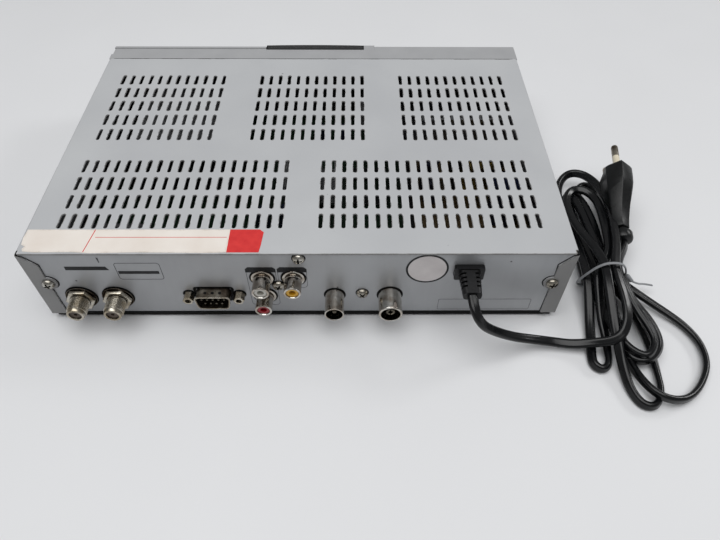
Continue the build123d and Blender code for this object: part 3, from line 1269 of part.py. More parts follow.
def make_board_screws():
    places = MAIN_STANDOFFS + POWER_STANDOFFS
    screw = upright_screw(BOARD_SCREW_LENGTH, BOARD_SCREW_HEAD)
    return [Pos(x, REAR - back, BOARD_TOP) * screw for x, back in places]


def on_board(x, back, size, low=BOARD_TOP):
    """A box that stands on a board: size along X, along Y and up."""
    return Pos(x, REAR - back, low + size[2] / 2) * Box(*size)


def make_chip():
    x, back, side, height = CHIP
    return on_board(x, back, (side, side, height))


def make_chip_sink():
    """A finned heat sink on the decoder chip."""
    x, back, _, chip_height = CHIP
    low = BOARD_TOP + chip_height
    sink = on_board(x, back, (CHIP_SINK_SIDE, CHIP_SINK_SIDE, CHIP_SINK_BASE), low)
    pitch = (CHIP_SINK_SIDE - FIN) / (CHIP_SINK_FINS - 1)
    for fin in range(CHIP_SINK_FINS):
        offset = (FIN - CHIP_SINK_SIDE) / 2 + fin * pitch
        sink += on_board(x + offset, back, (FIN, CHIP_SINK_SIDE, CHIP_SINK_HEIGHT), low)
    return sink


def make_memory():
    return [on_board(x, back, MEMORY_SIZE) for x, back in MEMORY_PLACES]


def make_capacitors():
    """Upright electrolytic capacitors with a rolled bead near the foot."""
    cans = []
    for x, back, radius, height in CAPACITORS:
        inner = radius - CAPACITOR_BEAD
        profile = make_face(
            Polyline(
                (0, 0),
                (radius, 0),
                (radius, CAPACITOR_BEAD_HEIGHT),
                (inner, CAPACITOR_BEAD_HEIGHT + CAPACITOR_RIM),
                (radius, CAPACITOR_BEAD_HEIGHT + 2 * CAPACITOR_RIM),
                (radius, height - CAPACITOR_RIM),
                (radius - CAPACITOR_RIM, height),
                (0, height),
                close=True,
            )
        )
        cans.append(Pos(x, REAR - back, BOARD_TOP) * revolve(Plane.XZ * profile, Axis.Z))
    return cans


def make_core():
    """The transformer's closed ferrite core, standing along X."""
    x, back = TRANSFORMER
    wide, thick, tall = CORE_SIZE
    window = (wide - 2 * CORE_BAR, 2 * thick, CORE_WINDOW)
    return on_board(x, back, CORE_SIZE) - on_board(x, back, window, BOARD_TOP + (tall - CORE_WINDOW) / 2)


def make_winding():
    """The bobbin and its taped winding, in the window of the core."""
    x, back = TRANSFORMER
    wide, _, tall = CORE_SIZE
    window_half = (wide - 2 * CORE_BAR) / 2
    low = BOARD_TOP + (tall - WINDING_HEIGHT) / 2
    taped = Ellipse(window_half - WINDING_GAP, WINDING_RADIUS)
    winding = Pos(x, REAR - back, low) * extrude(taped, WINDING_HEIGHT)
    flange = (2 * window_half, 2 * (WINDING_RADIUS + BOBBIN_FLANGE), BOBBIN_FLANGE)
    for height in (low - BOBBIN_FLANGE, low + WINDING_HEIGHT):
        winding += on_board(x, back, flange, height)
    foot_height = low - BOBBIN_FLANGE - BOARD_TOP
    foot = (2 * window_half, 2 * BOBBIN_FLANGE, foot_height)
    winding += [on_board(x, back + side * WINDING_RADIUS, foot) for side in (-1, 1)]
    return winding


def make_power_sink():
    """A standing plate with fins on its front."""
    x, back, wide, tall = POWER_SINK
    sink = on_board(x, back, (wide, POWER_SINK_SHEET, tall))
    pitch = (wide - FIN) / (POWER_SINK_FINS - 1)
    for fin in range(POWER_SINK_FINS):
        offset = (FIN - wide) / 2 + fin * pitch
        depth = POWER_SINK_FIN + POWER_SINK_SHEET
        sink += on_board(x + offset, back + POWER_SINK_FIN / 2, (FIN, depth, tall))
    return sink


def make_transistor():
    """The switching transistor on the rear of its heat sink."""
    x, back, _, _ = POWER_SINK
    thick = TRANSISTOR[1]
    seat = back - (POWER_SINK_SHEET + thick) / 2
    leg = (*TRANSISTOR_LEG, TRANSISTOR_LIFT + thick / 2)
    legs = [on_board(x + side * TRANSISTOR_LEG_PITCH, seat, leg) for side in (-1, 0, 1)]
    return on_board(x, seat, TRANSISTOR, BOARD_TOP + TRANSISTOR_LIFT) + legs


def make_choke():
    """A ring choke, lying on the power board."""
    x, back, radius = CHOKE
    ring = Circle(radius) - Circle(CHOKE_BORE)
    choke = Pos(x, REAR - back, BOARD_TOP) * extrude(ring, CHOKE_THICKNESS)
    return chamfer(choke.edges().filter_by(GeomType.CIRCLE), CHOKE_CHAMFER)


def make_fuse():
    """A glass fuse with its end caps, in two clips."""
    x, back = FUSE
    half = FUSE_LENGTH / 2
    y, z = REAR - back, BOARD_TOP + FUSE_LIFT
    fuse = across(y, z, FUSE_RADIUS - FUSE_RIM, x - half, x + half)
    for side in (-1, 1):
        fuse += across(y, z, FUSE_RADIUS, x + side * half, x + side * (half - FUSE_CAP))
        clip = (FUSE_CAP - 1, 2 * FUSE_RADIUS + 1, FUSE_LIFT)
        fuse += on_board(x + side * (half - FUSE_CAP / 2), back, clip)
    return fuse


def make_mains_wires():
    """The two cores of the lead, from the strain relief down to the power board."""
    inside = PANEL_INSIDE - GLAND_TAIL
    drop = inside - WIRE_REACH
    points = [
        (inside, GLAND_HEIGHT),
        (inside - WIRE_REACH * 0.65, GLAND_HEIGHT),
        (drop, GLAND_HEIGHT - WIRE_REACH),
        (drop, BOARD_TOP),
    ]
    wires = []
    for side in (-1, 1):
        route = [Vector(GLAND_X + side * WIRE_PITCH / 2, y, z) for y, z in points]
        path = FilletPolyline(*route, radius=bend_radii(route, WIRE_BEND))
        wires.append(sweep(Plane(route[0], z_dir=route[1] - route[0]) * Circle(WIRE_RADIUS), path=path))
    return wires


def make_ribbon():
    """A flat cable from the main board, through the chassis front, to the front board."""
    rise = REAR - REAR_EDGE - MAIN_BOARD_DEPTH + RIBBON_SETBACK
    height = FRONT_BOARD_BOTTOM + RIBBON_HEIGHT
    line = FilletPolyline((rise, BOARD_TOP), (rise, height), (FRONT_BOARD_BACK, height), radius=RIBBON_BEND)
    return extrude(Plane.YZ.offset(RIBBON_X) * trace(line, line_width=RIBBON), RIBBON_WIDTH / 2, both=True)


# ================================================================ all pieces
def main():
    os.makedirs("parts", exist_ok=True)
    pieces = {
        "top_cover": make_top_cover(),
        "chassis_tray": make_chassis(),
        "rubber_feet": make_feet(),
        "panel_screws": make_panel_screws(),
        "lnb_sockets": make_f_sockets(),
        "lnb_insulators": make_f_insulators(),
        "lnb_washers": make_f_washers(),
        "lnb_nuts": make_f_nuts(),
        "tuner_can": make_tuner(),
        "serial_shell": make_serial_shell(),
        "serial_insert": make_serial_insert(),
        "serial_pins": make_serial_pins(),
        "serial_jackscrews": make_jackscrews(),
        "phono_barrels": make_phono_barrels(),
        "phono_block": make_phono_block(),
        "aerial_out_shell": make_aerial_out(),
        "aerial_in_shell": make_aerial_in(),
        "aerial_insulators": make_aerial_insulators(),
        "aerial_contacts": make_aerial_contacts(),
        "modulator_can": make_modulator(),
        "strain_relief": make_gland(),
        "mains_lead": round_tube("mains_lead", LEAD_ROUTE, CORD_RADIUS),
        "mains_hank": make_hank(),
        "plug_lead": round_tube("plug_lead", PLUG_ROUTE, CORD_RADIUS),
        "twist_tie": make_tie(),
        "plug_body": make_plug_body(),
        "plug_pins": make_plug_pins(),
        "plug_sleeves": make_plug_sleeves(),
        "front_fascia": make_fascia(),
        "flap_door": make_door(),
        "display_lens": make_lens(),
        "display_module": make_display(),
        "front_board": make_front_board(),
        "tact_switches": make_switches(),
        "standby_light": make_light(),
        "standby_button": make_button(STANDBY_X),
        "card_bay_frame": make_bay_frame(),
        "card_bay_cage": make_bay_cage(),
        "upper_ejector": make_ejector(UPPER_CARD),
        "lower_ejector": make_ejector(LOWER_CARD),
        "main_board": make_board(MAIN_BOARD_LEFT, MAIN_BOARD_RIGHT, MAIN_BOARD_DEPTH, MAIN_STANDOFFS),
        "power_board": make_board(POWER_BOARD_LEFT, POWER_BOARD_RIGHT, POWER_BOARD_DEPTH, POWER_STANDOFFS),
        "board_standoffs": make_standoffs(),
        "board_screws": make_board_screws() + make_front_board_screws(),
        "circuit_chips": [make_chip()] + make_memory(),
        "decoder_heat_sink": make_chip_sink(),
        "capacitors": make_capacitors(),
        "transformer_core": make_core(),
        "transformer_winding": make_winding(),
        "power_heat_sink": make_power_sink(),
        "power_transistor": make_transistor(),
        "line_choke": make_choke(),
        "mains_fuse": make_fuse(),
        "mains_wires": make_mains_wires(),
        "ribbon_cable": make_ribbon(),
    }
    for colour, place in PHONO_PLACES.items():
        pieces[f"phono_insulator_{colour}"] = make_phono_insulator(*place)
    for name, x in CHANNEL_X.items():
        pieces[f"{name}_button"] = make_button(x)
    for name, part in pieces.items():
        save(name, part)
    print(len(pieces), "pieces")


if __name__ == "__main__":
    main()
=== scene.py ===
"""Satellite television receiver, dressed.

A folded and slotted steel cover, a rear panel with plated sockets, a moulded front with a smoked
window, and a flat mains cord tied into a hank. Lengths are millimetres unless a name says
otherwise. +Z is up, the front faces -Y and the connectors face +Y.
"""
from math import cos, pi, radians, sin

import bmesh
import bpy
from mathutils import Matrix, Vector


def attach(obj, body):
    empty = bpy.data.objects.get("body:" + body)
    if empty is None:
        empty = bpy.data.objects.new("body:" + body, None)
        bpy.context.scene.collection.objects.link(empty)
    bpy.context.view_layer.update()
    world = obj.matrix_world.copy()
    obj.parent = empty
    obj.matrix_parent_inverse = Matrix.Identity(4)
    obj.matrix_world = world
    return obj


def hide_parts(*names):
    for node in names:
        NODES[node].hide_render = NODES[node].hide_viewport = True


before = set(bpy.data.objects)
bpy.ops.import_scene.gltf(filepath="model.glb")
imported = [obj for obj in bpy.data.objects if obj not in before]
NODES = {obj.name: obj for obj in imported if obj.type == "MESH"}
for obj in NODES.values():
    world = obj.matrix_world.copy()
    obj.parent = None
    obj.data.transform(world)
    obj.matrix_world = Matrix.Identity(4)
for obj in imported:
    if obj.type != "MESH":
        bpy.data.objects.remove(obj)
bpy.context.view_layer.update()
MM = 0.001

# ---------------- sizes shared with the part
HALF_WIDTH = 130.0
CASE_HEIGHT = 50.0
FOOT_HEIGHT = 4.0
REAR = 83.5  # outer face of the rear panel
COVER_FRONT = -81.5
FASCIA_FRONT = -97.9
SHEET = 0.8
FOLD = 1.2  # outer radius of the cover's folds
FLANGE_EDGE = HALF_WIDTH - 7.7  # inner edge of a rear corner flange
FLANGE_SHOULDER = CASE_HEIGHT - 8.6  # where its slanting top ends
EAR_HEIGHT = CASE_HEIGHT - 21.5  # middle of its round screw ear
EAR_RADIUS = 4.2


# ================ meshes
def in_scene(name, data):
    made = bpy.data.objects.new(name, data)
    bpy.context.scene.collection.objects.link(made)
    return made


def joined_mesh(name, shapes):
    """One mesh, in metres, from several (points, faces) shapes in millimetres."""
    points, faces = [], []
    for shape_points, shape_faces in shapes:
        start = len(points)
        points += [Vector(point) * MM for point in shape_points]
        faces += [[start + corner for corner in face] for face in shape_faces]
    mesh = bpy.data.meshes.new(name)
    mesh.from_pydata(points, [], faces)
    return mesh


def face_outwards(mesh):
    work = bmesh.new()
    work.from_mesh(mesh)
    bmesh.ops.recalc_face_normals(work, faces=work.faces)
    work.to_mesh(mesh)
    work.free()


def finish_piece(name, mesh, material, replaces=(), sharp=32.0):
    """Puts a mesh in the scene with its finish, and hides the nodes it stands for."""
    face_outwards(mesh)
    mesh.materials.clear()
    mesh.materials.append(material)
    for face in mesh.polygons:
        face.use_smooth = True
        face.material_index = 0
    mesh.set_sharp_from_angle(angle=radians(sharp))
    piece = in_scene(name, mesh)
    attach(piece, "receiver")
    if replaces:
        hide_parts(*replaces)
    return piece


def new_piece(name, shapes, material, replaces=(), sharp=32.0):
    """A finished piece made straight from shapes."""
    mesh = joined_mesh(name, shapes)
    mesh.validate()
    return finish_piece(name, mesh, material, replaces, sharp)


def helper(name, shapes):
    """A closed shape that is cut, joined or rounded before it is finished."""
    mesh = joined_mesh(name, shapes)
    face_outwards(mesh)
    return in_scene(name, mesh)


def round_corners(piece, width, segments, angle):
    rounding = piece.modifiers.new("rounding", "BEVEL")
    rounding.width = width * MM
    rounding.segments = segments
    rounding.limit_method = "ANGLE"
    rounding.angle_limit = radians(angle)


def combine(piece, operation, other):
    joint = piece.modifiers.new("joint", "BOOLEAN")
    joint.operation = operation
    joint.object = other
    joint.solver = "EXACT"
    return joint


def baked_mesh(piece, name, *used):
    """The mesh of an object with its modifiers applied; the object and its helpers are removed."""
    bpy.context.view_layer.update()
    graph = bpy.context.evaluated_depsgraph_get()
    mesh = bpy.data.meshes.new_from_object(piece.evaluated_get(graph), depsgraph=graph)
    mesh.name = name
    for spent in (piece, *used):
        bpy.data.objects.remove(spent)
    return mesh


def chamfered(name, node, width, material):
    """A copy of a CAD node, its corners merged and chamfered, which then stands for the node."""
    mesh = NODES[node].data.copy()
    work = bmesh.new()
    work.from_mesh(mesh)
    bmesh.ops.remove_doubles(work, verts=work.verts, dist=0.002 * MM)
    bmesh.ops.dissolve_limit(work, angle_limit=radians(1.0), verts=work.verts, edges=work.edges)
    work.to_mesh(mesh)
    work.free()
    if "custom_normal" in mesh.attributes:
        mesh.attributes.remove(mesh.attributes["custom_normal"])
    copy = in_scene(name, mesh)
    round_corners(copy, width, 1, 30.0)
    return finish_piece(name, baked_mesh(copy, name), material, (node,), 40.0)


# ---------------- outlines and shapes
def arc(x, z, radius, start, end, steps):
    """Corners along an arc, in degrees."""
    angles = [radians(start + (end - start) * i / steps) for i in range(steps + 1)]
    return [(x + radius * cos(a), z + radius * sin(a)) for a in angles]


def circle(x, z, radius, steps=40):
    return arc(x, z, radius, 0, 360, steps)[:-1]


def rectangle(x0, x1, z0, z1):
    return [(x0, z0), (x1, z0), (x1, z1), (x0, z1)]


def rounded_rectangle(x0, x1, z0, z1, radius):
    middles = rectangle(x0 + radius, x1 - radius, z0 + radius, z1 - radius)
    outline = []
    for quarter, (x, z) in enumerate(middles[2:] + middles[:2]):
        outline += arc(x, z, radius, 90 * quarter, 90 * quarter + 90, 5)
    return outline


def mirrored(outline):
    return [(-x, z) for x, z in reversed(outline)]


def prism(outline, y0, y1):
    """A flat outline of (x, z) corners, from y0 to y1."""
    count = len(outline)
    points = [(x, y0, z) for x, z in outline] + [(x, y1, z) for x, z in outline]
    faces = [list(range(count)), list(range(2 * count - 1, count - 1, -1))]
    faces += [[i, (i + 1) % count, count + (i + 1) % count, count + i] for i in range(count)]
    return points, faces


def slab(outline, z0, z1):
    """A flat outline of (x, y) corners, from z0 to z1."""
    points, faces = prism(outline, z0, z1)
    return [(x, y, z) for x, z, y in points], faces


def box(x0, x1, y0, y1, z0, z1):
    return slab(rectangle(x0, x1, y0, y1), z0, z1)


def ring_prism(outline, width, y0, y1):
    """A line of even width along a closed outline, inside it, from y0 to y1."""
    count = len(outline)
    middle = Vector((sum(x for x, _ in outline) / count, sum(z for _, z in outline) / count))
    inner = []
    for i, (x, z) in enumerate(outline):
        before, after = Vector(outline[i - 1]), Vector(outline[(i + 1) % count])
        along = (after - before).normalized()
        normal = Vector((-along.y, along.x))
        if normal.dot(middle - Vector((x, z))) < 0:
            normal = -normal
        inner.append((x + normal.x * width, z + normal.y * width))
    points = [(x, y, z) for y in (y0, y1) for ring in (outline, inner) for x, z in ring]
    faces = []
    for i in range(count):
        j = (i + 1) % count
        faces += [
            [i, j, count + j, count + i],
            [2 * count + i, 3 * count + i, 3 * count + j, 2 * count + j],
            [i, 2 * count + i, 2 * count + j, j],
            [count + i, count + j, 3 * count + j, 3 * count + i],
        ]
    return points, faces


def turned(profile, x, z, around=40):
    """A shape turned about Y, from a closed loop of (radius, y) corners."""
    angles = [2 * pi * i / around for i in range(around)]
    points, faces, rows = [], [], []
    for radius, y in profile:
        if radius == 0:
            rows.append([len(points)] * around)
            points.append((x, y, z))
        else:
            rows.append([len(points) + i for i in range(around)])
            points += [(x + radius * cos(a), y, z + radius * sin(a)) for a in angles]
    for row, following in zip(rows, rows[1:] + rows[:1]):
        if row[0] == row[1] and following[0] == following[1]:
            continue
        for i in range(around):
            j = (i + 1) % around
            corners = [row[i], row[j], following[j], following[i]]
            face = [c for k, c in enumerate(corners) if c != corners[k - 1]]
            if len(face) > 2:
                faces.append(face)
    return points, faces


def lofted(rings):
    """A closed shape through rings that all have the same number of points."""
    points = [point for ring in rings for point in ring]
    count = len(rings[0])
    last = len(points) - count
    faces = []
    for start in range(0, last, count):
        for i in range(count):
            j = (i + 1) % count
            faces.append([start + i, start + j, start + count + j, start + count + i])
    faces += [list(range(count - 1, -1, -1)), list(range(last, last + count))]
    return points, faces


def swept(path, sides, section):
    """A section of (across, up) corners carried along a path, turned to a side at each point."""
    rings = []
    for i, here in enumerate(path):
        along = (path[min(i + 1, len(path) - 1)] - path[max(i - 1, 0)]).normalized()
        side = (sides[i] - along * sides[i].dot(along)).normalized()
        up = side.cross(along)
        rings.append([here + side * across + up * high for across, high in section])
    return lofted(rings)


def spline_points(name, route, steps):
    """The points of a smooth line that has the route as its control points."""
    curve = bpy.data.curves.new(name, "CURVE")
    curve.dimensions = "3D"
    curve.resolution_u = steps
    line = curve.splines.new("NURBS")
    line.points.add(len(route) - 1)
    for point, place in zip(line.points, route):
        point.co = (*place, 1.0)
    line.order_u = 3
    line.use_endpoint_u = True
    mesh = baked_mesh(in_scene(name, curve), name)
    points = [Vector(vertex.co) for vertex in mesh.vertices]
    bpy.data.meshes.remove(mesh)
    bpy.data.curves.remove(curve)
    return points


def smoothed(vectors, reach):
    """Each vector averaged with its neighbours along the line."""
    result = []
    for i in range(len(vectors)):
        near = vectors[max(0, i - reach): i + reach + 1]
        result.append(sum(near, Vector()).normalized())
    return result


# ================ nodes
class Nodes:
    """A node tree, and short ways to add to it."""

    def __init__(self, tree):
        self.tree = tree

    def link(self, socket, value):
        """Links a socket to another one, or sets it to a value."""
        if isinstance(value, bpy.types.NodeSocket):
            self.tree.links.new(value, socket)
        else:
            socket.default_value = value

    def add(self, kind, inputs, output=0, **settings):
        """A new node with its inputs and settings, of which one output is handed back."""
        made = self.tree.nodes.new(kind)
        for key, value in settings.items():
            setattr(made, key, value)
        for key, value in inputs.items():
            self.link(made.inputs[key], value)
        return made.outputs[output]

    def math(self, operation, first, second=0.0):
        return self.add("ShaderNodeMath", {0: first, 1: second}, operation=operation)

    def times(self, first, second):
        return self.math("MULTIPLY", first, second)

    def span(self, value, low, high, to_low=0.0, to_high=1.0):
        """One range of values carried to another."""
        ends = {"From Min": low, "From Max": high, "To Min": to_low, "To Max": to_high}
        return self.add("ShaderNodeMapRange", {"Value": value, **ends})


# ================ materials
def linear(colour):
    """An 8-bit screen colour as the linear colour that a shader takes."""
    shares = [channel / 255 for channel in colour]
    return [s / 12.92 if s <= 0.04045 else ((s + 0.055) / 1.055) ** 2.4 for s in shares] + [1.0]


class Finish(Nodes):
    """A procedural finish on object coordinates: tone, roughness and relief from noise."""

    def __init__(self, name, metallic=0.0, **constants):
        self.material = bpy.data.materials.new(name)
        self.material.use_nodes = True
        super().__init__(self.material.node_tree)
        self.shader = self.tree.nodes["Principled BSDF"].inputs
        self.place = self.add("ShaderNodeTexCoord", {}, "Object")
        self.normal = None
        for socket, value in constants.items():
            self.shader[socket.replace("_", " ")].default_value = value
        self.shader["Metallic"].default_value = metallic

    def noise(self, scale, detail=3.0, stretch=(1, 1, 1), contrast=0.0):
        """Noise with features about one over the scale, in metres, from 0 to 1."""
        place = self.add("ShaderNodeMapping", {"Vector": self.place, "Scale": stretch})
        settings = {"Vector": place, "Scale": scale, "Detail": detail}
        noise = self.add("ShaderNodeTexNoise", settings)
        return self.span(noise, 0.28 + contrast, 0.72 - contrast)

    def spots(self, scale, size):
        """Round specks, one per cell, as a mask."""
        cells = self.add("ShaderNodeTexVoronoi", {"Vector": self.place, "Scale": scale})
        return self.span(cells, size, size * 0.6)

    def specks(self, scale, size, patches, contrast):
        """Specks that come in patches."""
        return self.times(self.spots(scale, size), self.noise(patches, 1.0, contrast=contrast))

    def beyond(self, axis, start, end):
        """A mask that rises from 0 at one place along an axis to 1 at another."""
        along = self.add("ShaderNodeSeparateXYZ", {0: self.place}, axis)
        return self.span(along, start * MM, end * MM)

    def mixed(self, factor, first, second):
        """Two colours by a mask; a colour is 8-bit or a socket."""
        pair = [
            colour if isinstance(colour, bpy.types.NodeSocket) else linear(colour)
            for colour in (first, second)
        ]
        inputs = {0: factor, 6: pair[0], 7: pair[1]}
        return self.add("ShaderNodeMix", inputs, 2, data_type="RGBA")

    def softened(self, radius):
        """The surface's direction, rounded off along the corners."""
        return self.add("ShaderNodeBevel", {"Radius": radius * MM}, samples=4)

    def rounded(self, radius):
        """Catches light along the corners."""
        self.normal = self.softened(radius)

    def corners(self, radius, least, most):
        """A mask of outer and inner corners."""
        true = self.add("ShaderNodeNewGeometry", {}, "Normal")
        inputs = {0: self.softened(radius), 1: true}
        dot = self.add("ShaderNodeVectorMath", inputs, "Value", operation="DOT_PRODUCT")
        return self.span(dot, least, most)

    def hollows(self, reach, low=0.9, high=0.4):
        """A mask of narrow and deep places."""
        open_share = self.add(
            "ShaderNodeAmbientOcclusion", {"Distance": reach * MM}, "AO", samples=6)
        return self.span(open_share, low, high)

    def relief(self, height, depth):
        """Bump of a given depth."""
        inputs = {"Distance": depth * MM, "Height": height}
        if self.normal is not None:
            inputs["Normal"] = self.normal
        self.normal = self.add("ShaderNodeBump", inputs)

    def done(self, colour, pattern, rough):
        """The material, with its roughness between two values by a pattern."""
        self.link(self.shader["Base Color"], colour)
        self.link(self.shader["Roughness"], self.span(pattern, 0.0, 1.0, *rough))
        if self.normal is not None:
            self.link(self.shader["Normal"], self.normal)
        return self.material


def plain_finish(name, dark, light, rough, metallic=0.0, mottle=60.0, grain=900.0, depth=0.02,
                 round_by=0.15, painted_shade=None, reach=2.0, **constants):
    """Mottled colour, fine grain and painted shade in the hollows."""
    made = Finish(name, metallic, **constants)
    if round_by:
        made.rounded(round_by)
    fine = made.noise(grain, 4.0)
    colour = made.mixed(made.noise(mottle), dark, light)
    # Painted shade: the given colour darkens the hollows.
    if painted_shade:
        colour = made.mixed(made.hollows(reach), colour, painted_shade)
    made.relief(fine, depth)
    return made.done(colour, fine, rough)


def cover_paint_finish():
    """Silver-grey paint on sheet steel: fine texture, faint blotches, specks, lighter and chipped
    corners.
    """
    made = Finish("silver_grey_paint")
    made.rounded(0.35)
    colour = made.mixed(made.noise(14.0, 4.0), (172, 174, 177), (184, 186, 188))
    colour = made.mixed(made.specks(55.0, 0.035, 30.0, 0.12), colour, (112, 112, 114))
    edge = made.corners(0.7, 0.995, 0.95)
    colour = made.mixed(made.times(edge, 0.55), colour, (218, 218, 220))
    chips = made.times(edge, made.noise(150.0, 2.0, contrast=0.195))
    colour = made.mixed(chips, colour, (74, 66, 58))
    # Painted shade: the rear faces of the corner flanges darker than the top of the cover.
    flange_painted_shade = made.beyond("Y", REAR + 0.4, REAR + 0.7)
    colour = made.mixed(made.times(flange_painted_shade, 0.85), colour, (122, 121, 120))
    made.relief(made.noise(1800.0, 2.0), 0.02)
    return made.done(colour, made.noise(40.0), (0.42, 0.56))


def panel_finish():
    """The rear panel and tray: plated steel under thin grey paint, brushed, with painted shade on
    the inside.
    """
    made = Finish("grey_panel_steel", 0.55)
    made.rounded(0.2)
    streaks = made.noise(420.0, 3.0, stretch=(1.0, 1.0, 0.06))
    colour = made.mixed(made.noise(22.0, 5.0), (158, 160, 163), (174, 177, 180))
    colour = made.mixed(made.times(made.noise(9.0, 2.0), 0.4), colour, (148, 146, 146))
    colour = made.mixed(made.specks(70.0, 0.045, 45.0, 0.14), colour, (78, 76, 76))
    # Painted shade: darker inside the case, in front of the rear panel and above the tray's floor.
    inside = made.times(
        made.beyond("Y", REAR - 1.0, REAR - 1.4),
        made.beyond("Z", FOOT_HEIGHT + 0.4, FOOT_HEIGHT + 0.7),
    )
    colour = made.mixed(made.times(inside, 0.9), colour, (66, 67, 69))
    made.relief(streaks, 0.008)
    return made.done(colour, streaks, (0.34, 0.46))


def nickel_finish(name, light, dark, brown, rough, tarnish):
    """Plated metal that has tarnished in blotches, with painted shade in its hollows."""
    made = Finish(name, 1.0)
    made.rounded(0.18)
    colour = made.mixed(made.noise(350.0, 4.0), dark, light)
    blotches = made.times(made.noise(160.0, 5.0, contrast=0.12), tarnish)
    colour = made.mixed(blotches, colour, brown)
    # Painted shade: darker in the hollows.
    colour = made.mixed(made.hollows(1.6, 0.85, 0.3), colour, (42, 36, 30))
    made.relief(made.noise(1400.0, 2.0), 0.006)
    return made.done(colour, made.noise(500.0), rough)


def cord_finish():
    """Black flexible PVC, satin, with dull patches and lint."""
    made = Finish("black_cord_pvc", Specular_IOR_Level=0.36)
    colour = made.mixed(made.noise(80.0, 3.0), (6, 7, 9), (12, 13, 15))
    colour = made.mixed(made.specks(240.0, 0.06, 90.0, 0.12), colour, (64, 64, 66))
    made.relief(made.noise(500.0, 4.0), 0.01)
    return made.done(colour, made.noise(140.0, 3.0), (0.17, 0.3))


def sticker_finish():
    """Cream paper with a film on it, yellowed and rubbed at its rim."""
    made = Finish("cream_sticker_paper")
    colour = made.mixed(made.noise(60.0, 4.0), (222, 213, 204), (232, 226, 219))
    rubbed = made.times(made.corners(1.2, 0.99, 0.9), made.noise(220.0, 3.0, contrast=0.1))
    colour = made.mixed(rubbed, colour, (150, 134, 112))
    made.relief(made.noise(300.0), 0.02)
    return made.done(colour, made.noise(90.0), (0.35, 0.5))


COVER_PAINT = cover_paint_finish()
PANEL_STEEL = panel_finish()
NICKEL = nickel_finish(
    "tarnished_nickel", (216, 212, 202), (184, 178, 164), (144, 130, 106), (0.2, 0.34), 0.75)
BRIGHT_NICKEL = nickel_finish(
    "bright_nickel", (222, 220, 214), (186, 182, 174), (128, 104, 78), (0.08, 0.18), 0.55)
DARK_NICKEL = nickel_finish(
    "dull_nickel", (150, 144, 134), (112, 104, 94), (84, 66, 50), (0.24, 0.38), 0.8)
PIN_NICKEL = nickel_finish(
    "worn_pin_nickel", (170, 164, 152), (116, 108, 96), (78, 66, 54), (0.24, 0.4), 0.9)
SCREW_STEEL = nickel_finish(
    "zinc_screw_steel", (200, 198, 192), (160, 156, 147), (116, 106, 88), (0.2, 0.32), 0.55)
TINPLATE = nickel_finish(
    "tinned_can", (150, 152, 154), (120, 122, 124), (96, 94, 90), (0.34, 0.5), 0.3)
AERIAL_CONTACT = nickel_finish(
    "aerial_contact", (128, 122, 108), (92, 88, 80), (60, 52, 42), (0.25, 0.4), 0.6)
CORD_PVC = cord_finish()
STICKER = sticker_finish()
# Where a finish below is given a colour for its hollows, that colour is painted shade.
RUBBER = plain_finish(
    "black_strain_relief_rubber", (12, 12, 14), (22, 22, 24), (0.34, 0.48),
    painted_shade=(5, 5, 5), Specular_IOR_Level=0.3)
PLUG_PVC = plain_finish(
    "black_plug_pvc", (8, 9, 10), (16, 18, 19), (0.26, 0.38),
    grain=600.0, depth=0.006, round_by=0.5, painted_shade=(6, 6, 6), Specular_IOR_Level=0.34)
BROWN_INSERT = plain_finish(
    "brown_socket_plastic", (70, 58, 48), (92, 78, 66), (0.4, 0.55), painted_shade=(10, 8, 6), reach=1.0)
BLACK_INSERT = plain_finish("black_socket_plastic", (8, 8, 9), (16, 16, 17), (0.34, 0.46))
WHITE_INSERT = plain_finish(
    "white_socket_plastic", (196, 194, 186), (214, 212, 205), (0.32, 0.45), painted_shade=(84, 78, 66))
RED_INSERT = plain_finish(
    "red_socket_plastic", (140, 14, 26), (168, 24, 38), (0.28, 0.4), painted_shade=(50, 4, 8))
YELLOW_INSERT = plain_finish(
    "yellow_socket_plastic", (206, 152, 30), (224, 176, 52), (0.3, 0.42), painted_shade=(96, 60, 10))
FASCIA_SILVER = plain_finish(
    "silver_fascia_paint", (162, 163, 165), (170, 171, 173), (0.36, 0.46), 0.1,
    grain=2200.0, depth=0.008, round_by=0.4)
BUTTON_GREY = plain_finish(
    "grey_button_plastic", (112, 114, 118), (124, 126, 130), (0.3, 0.42), round_by=0.3)
DARK_LENS = plain_finish(
    "smoked_lens_plastic", (12, 13, 15), (18, 19, 22), (0.06, 0.12),
    depth=0.002, round_by=0.3, Coat_Weight=0.6, Coat_Roughness=0.05)
LIGHT_GREEN = plain_finish(
    "green_light_plastic", (34, 120, 60), (52, 150, 78), (0.12, 0.2), Coat_Weight=0.5)
DISPLAY_GLASS = plain_finish(
    "display_glass", (26, 34, 36), (38, 46, 48), (0.08, 0.16), Coat_Weight=0.5)
FOOT_RUBBER = plain_finish(
    "black_foot_rubber", (24, 24, 25), (38, 38, 40), (0.6, 0.78), grain=1500.0)
PIN_SLEEVE = plain_finish(
    "cream_pin_sleeve", (206, 196, 172), (226, 218, 198), (0.36, 0.48), painted_shade=(120, 104, 78))
TIE_GREY = plain_finish(
    "grey_tie_plastic", (112, 114, 117), (140, 142, 145), (0.34, 0.5), grain=1500.0, round_by=0.1)
BOARD_GREEN = plain_finish("green_board", (14, 36, 22), (24, 50, 30), (0.3, 0.45), mottle=300.0)
BOARD_TAN = plain_finish("tan_power_board", (76, 62, 40), (94, 78, 50), (0.45, 0.6), mottle=300.0)
CHIP_BLACK = plain_finish("black_chip_epoxy", (24, 24, 26), (34, 34, 36), (0.4, 0.55))
CAPACITOR_SLEEVE = plain_finish("blue_capacitor_sleeve", (24, 30, 52), (34, 42, 70), (0.22, 0.34))
SINK_ALUMINIUM = plain_finish(
    "aluminium_heat_sink", (168, 170, 172), (190, 192, 194), (0.35, 0.5), 0.9)
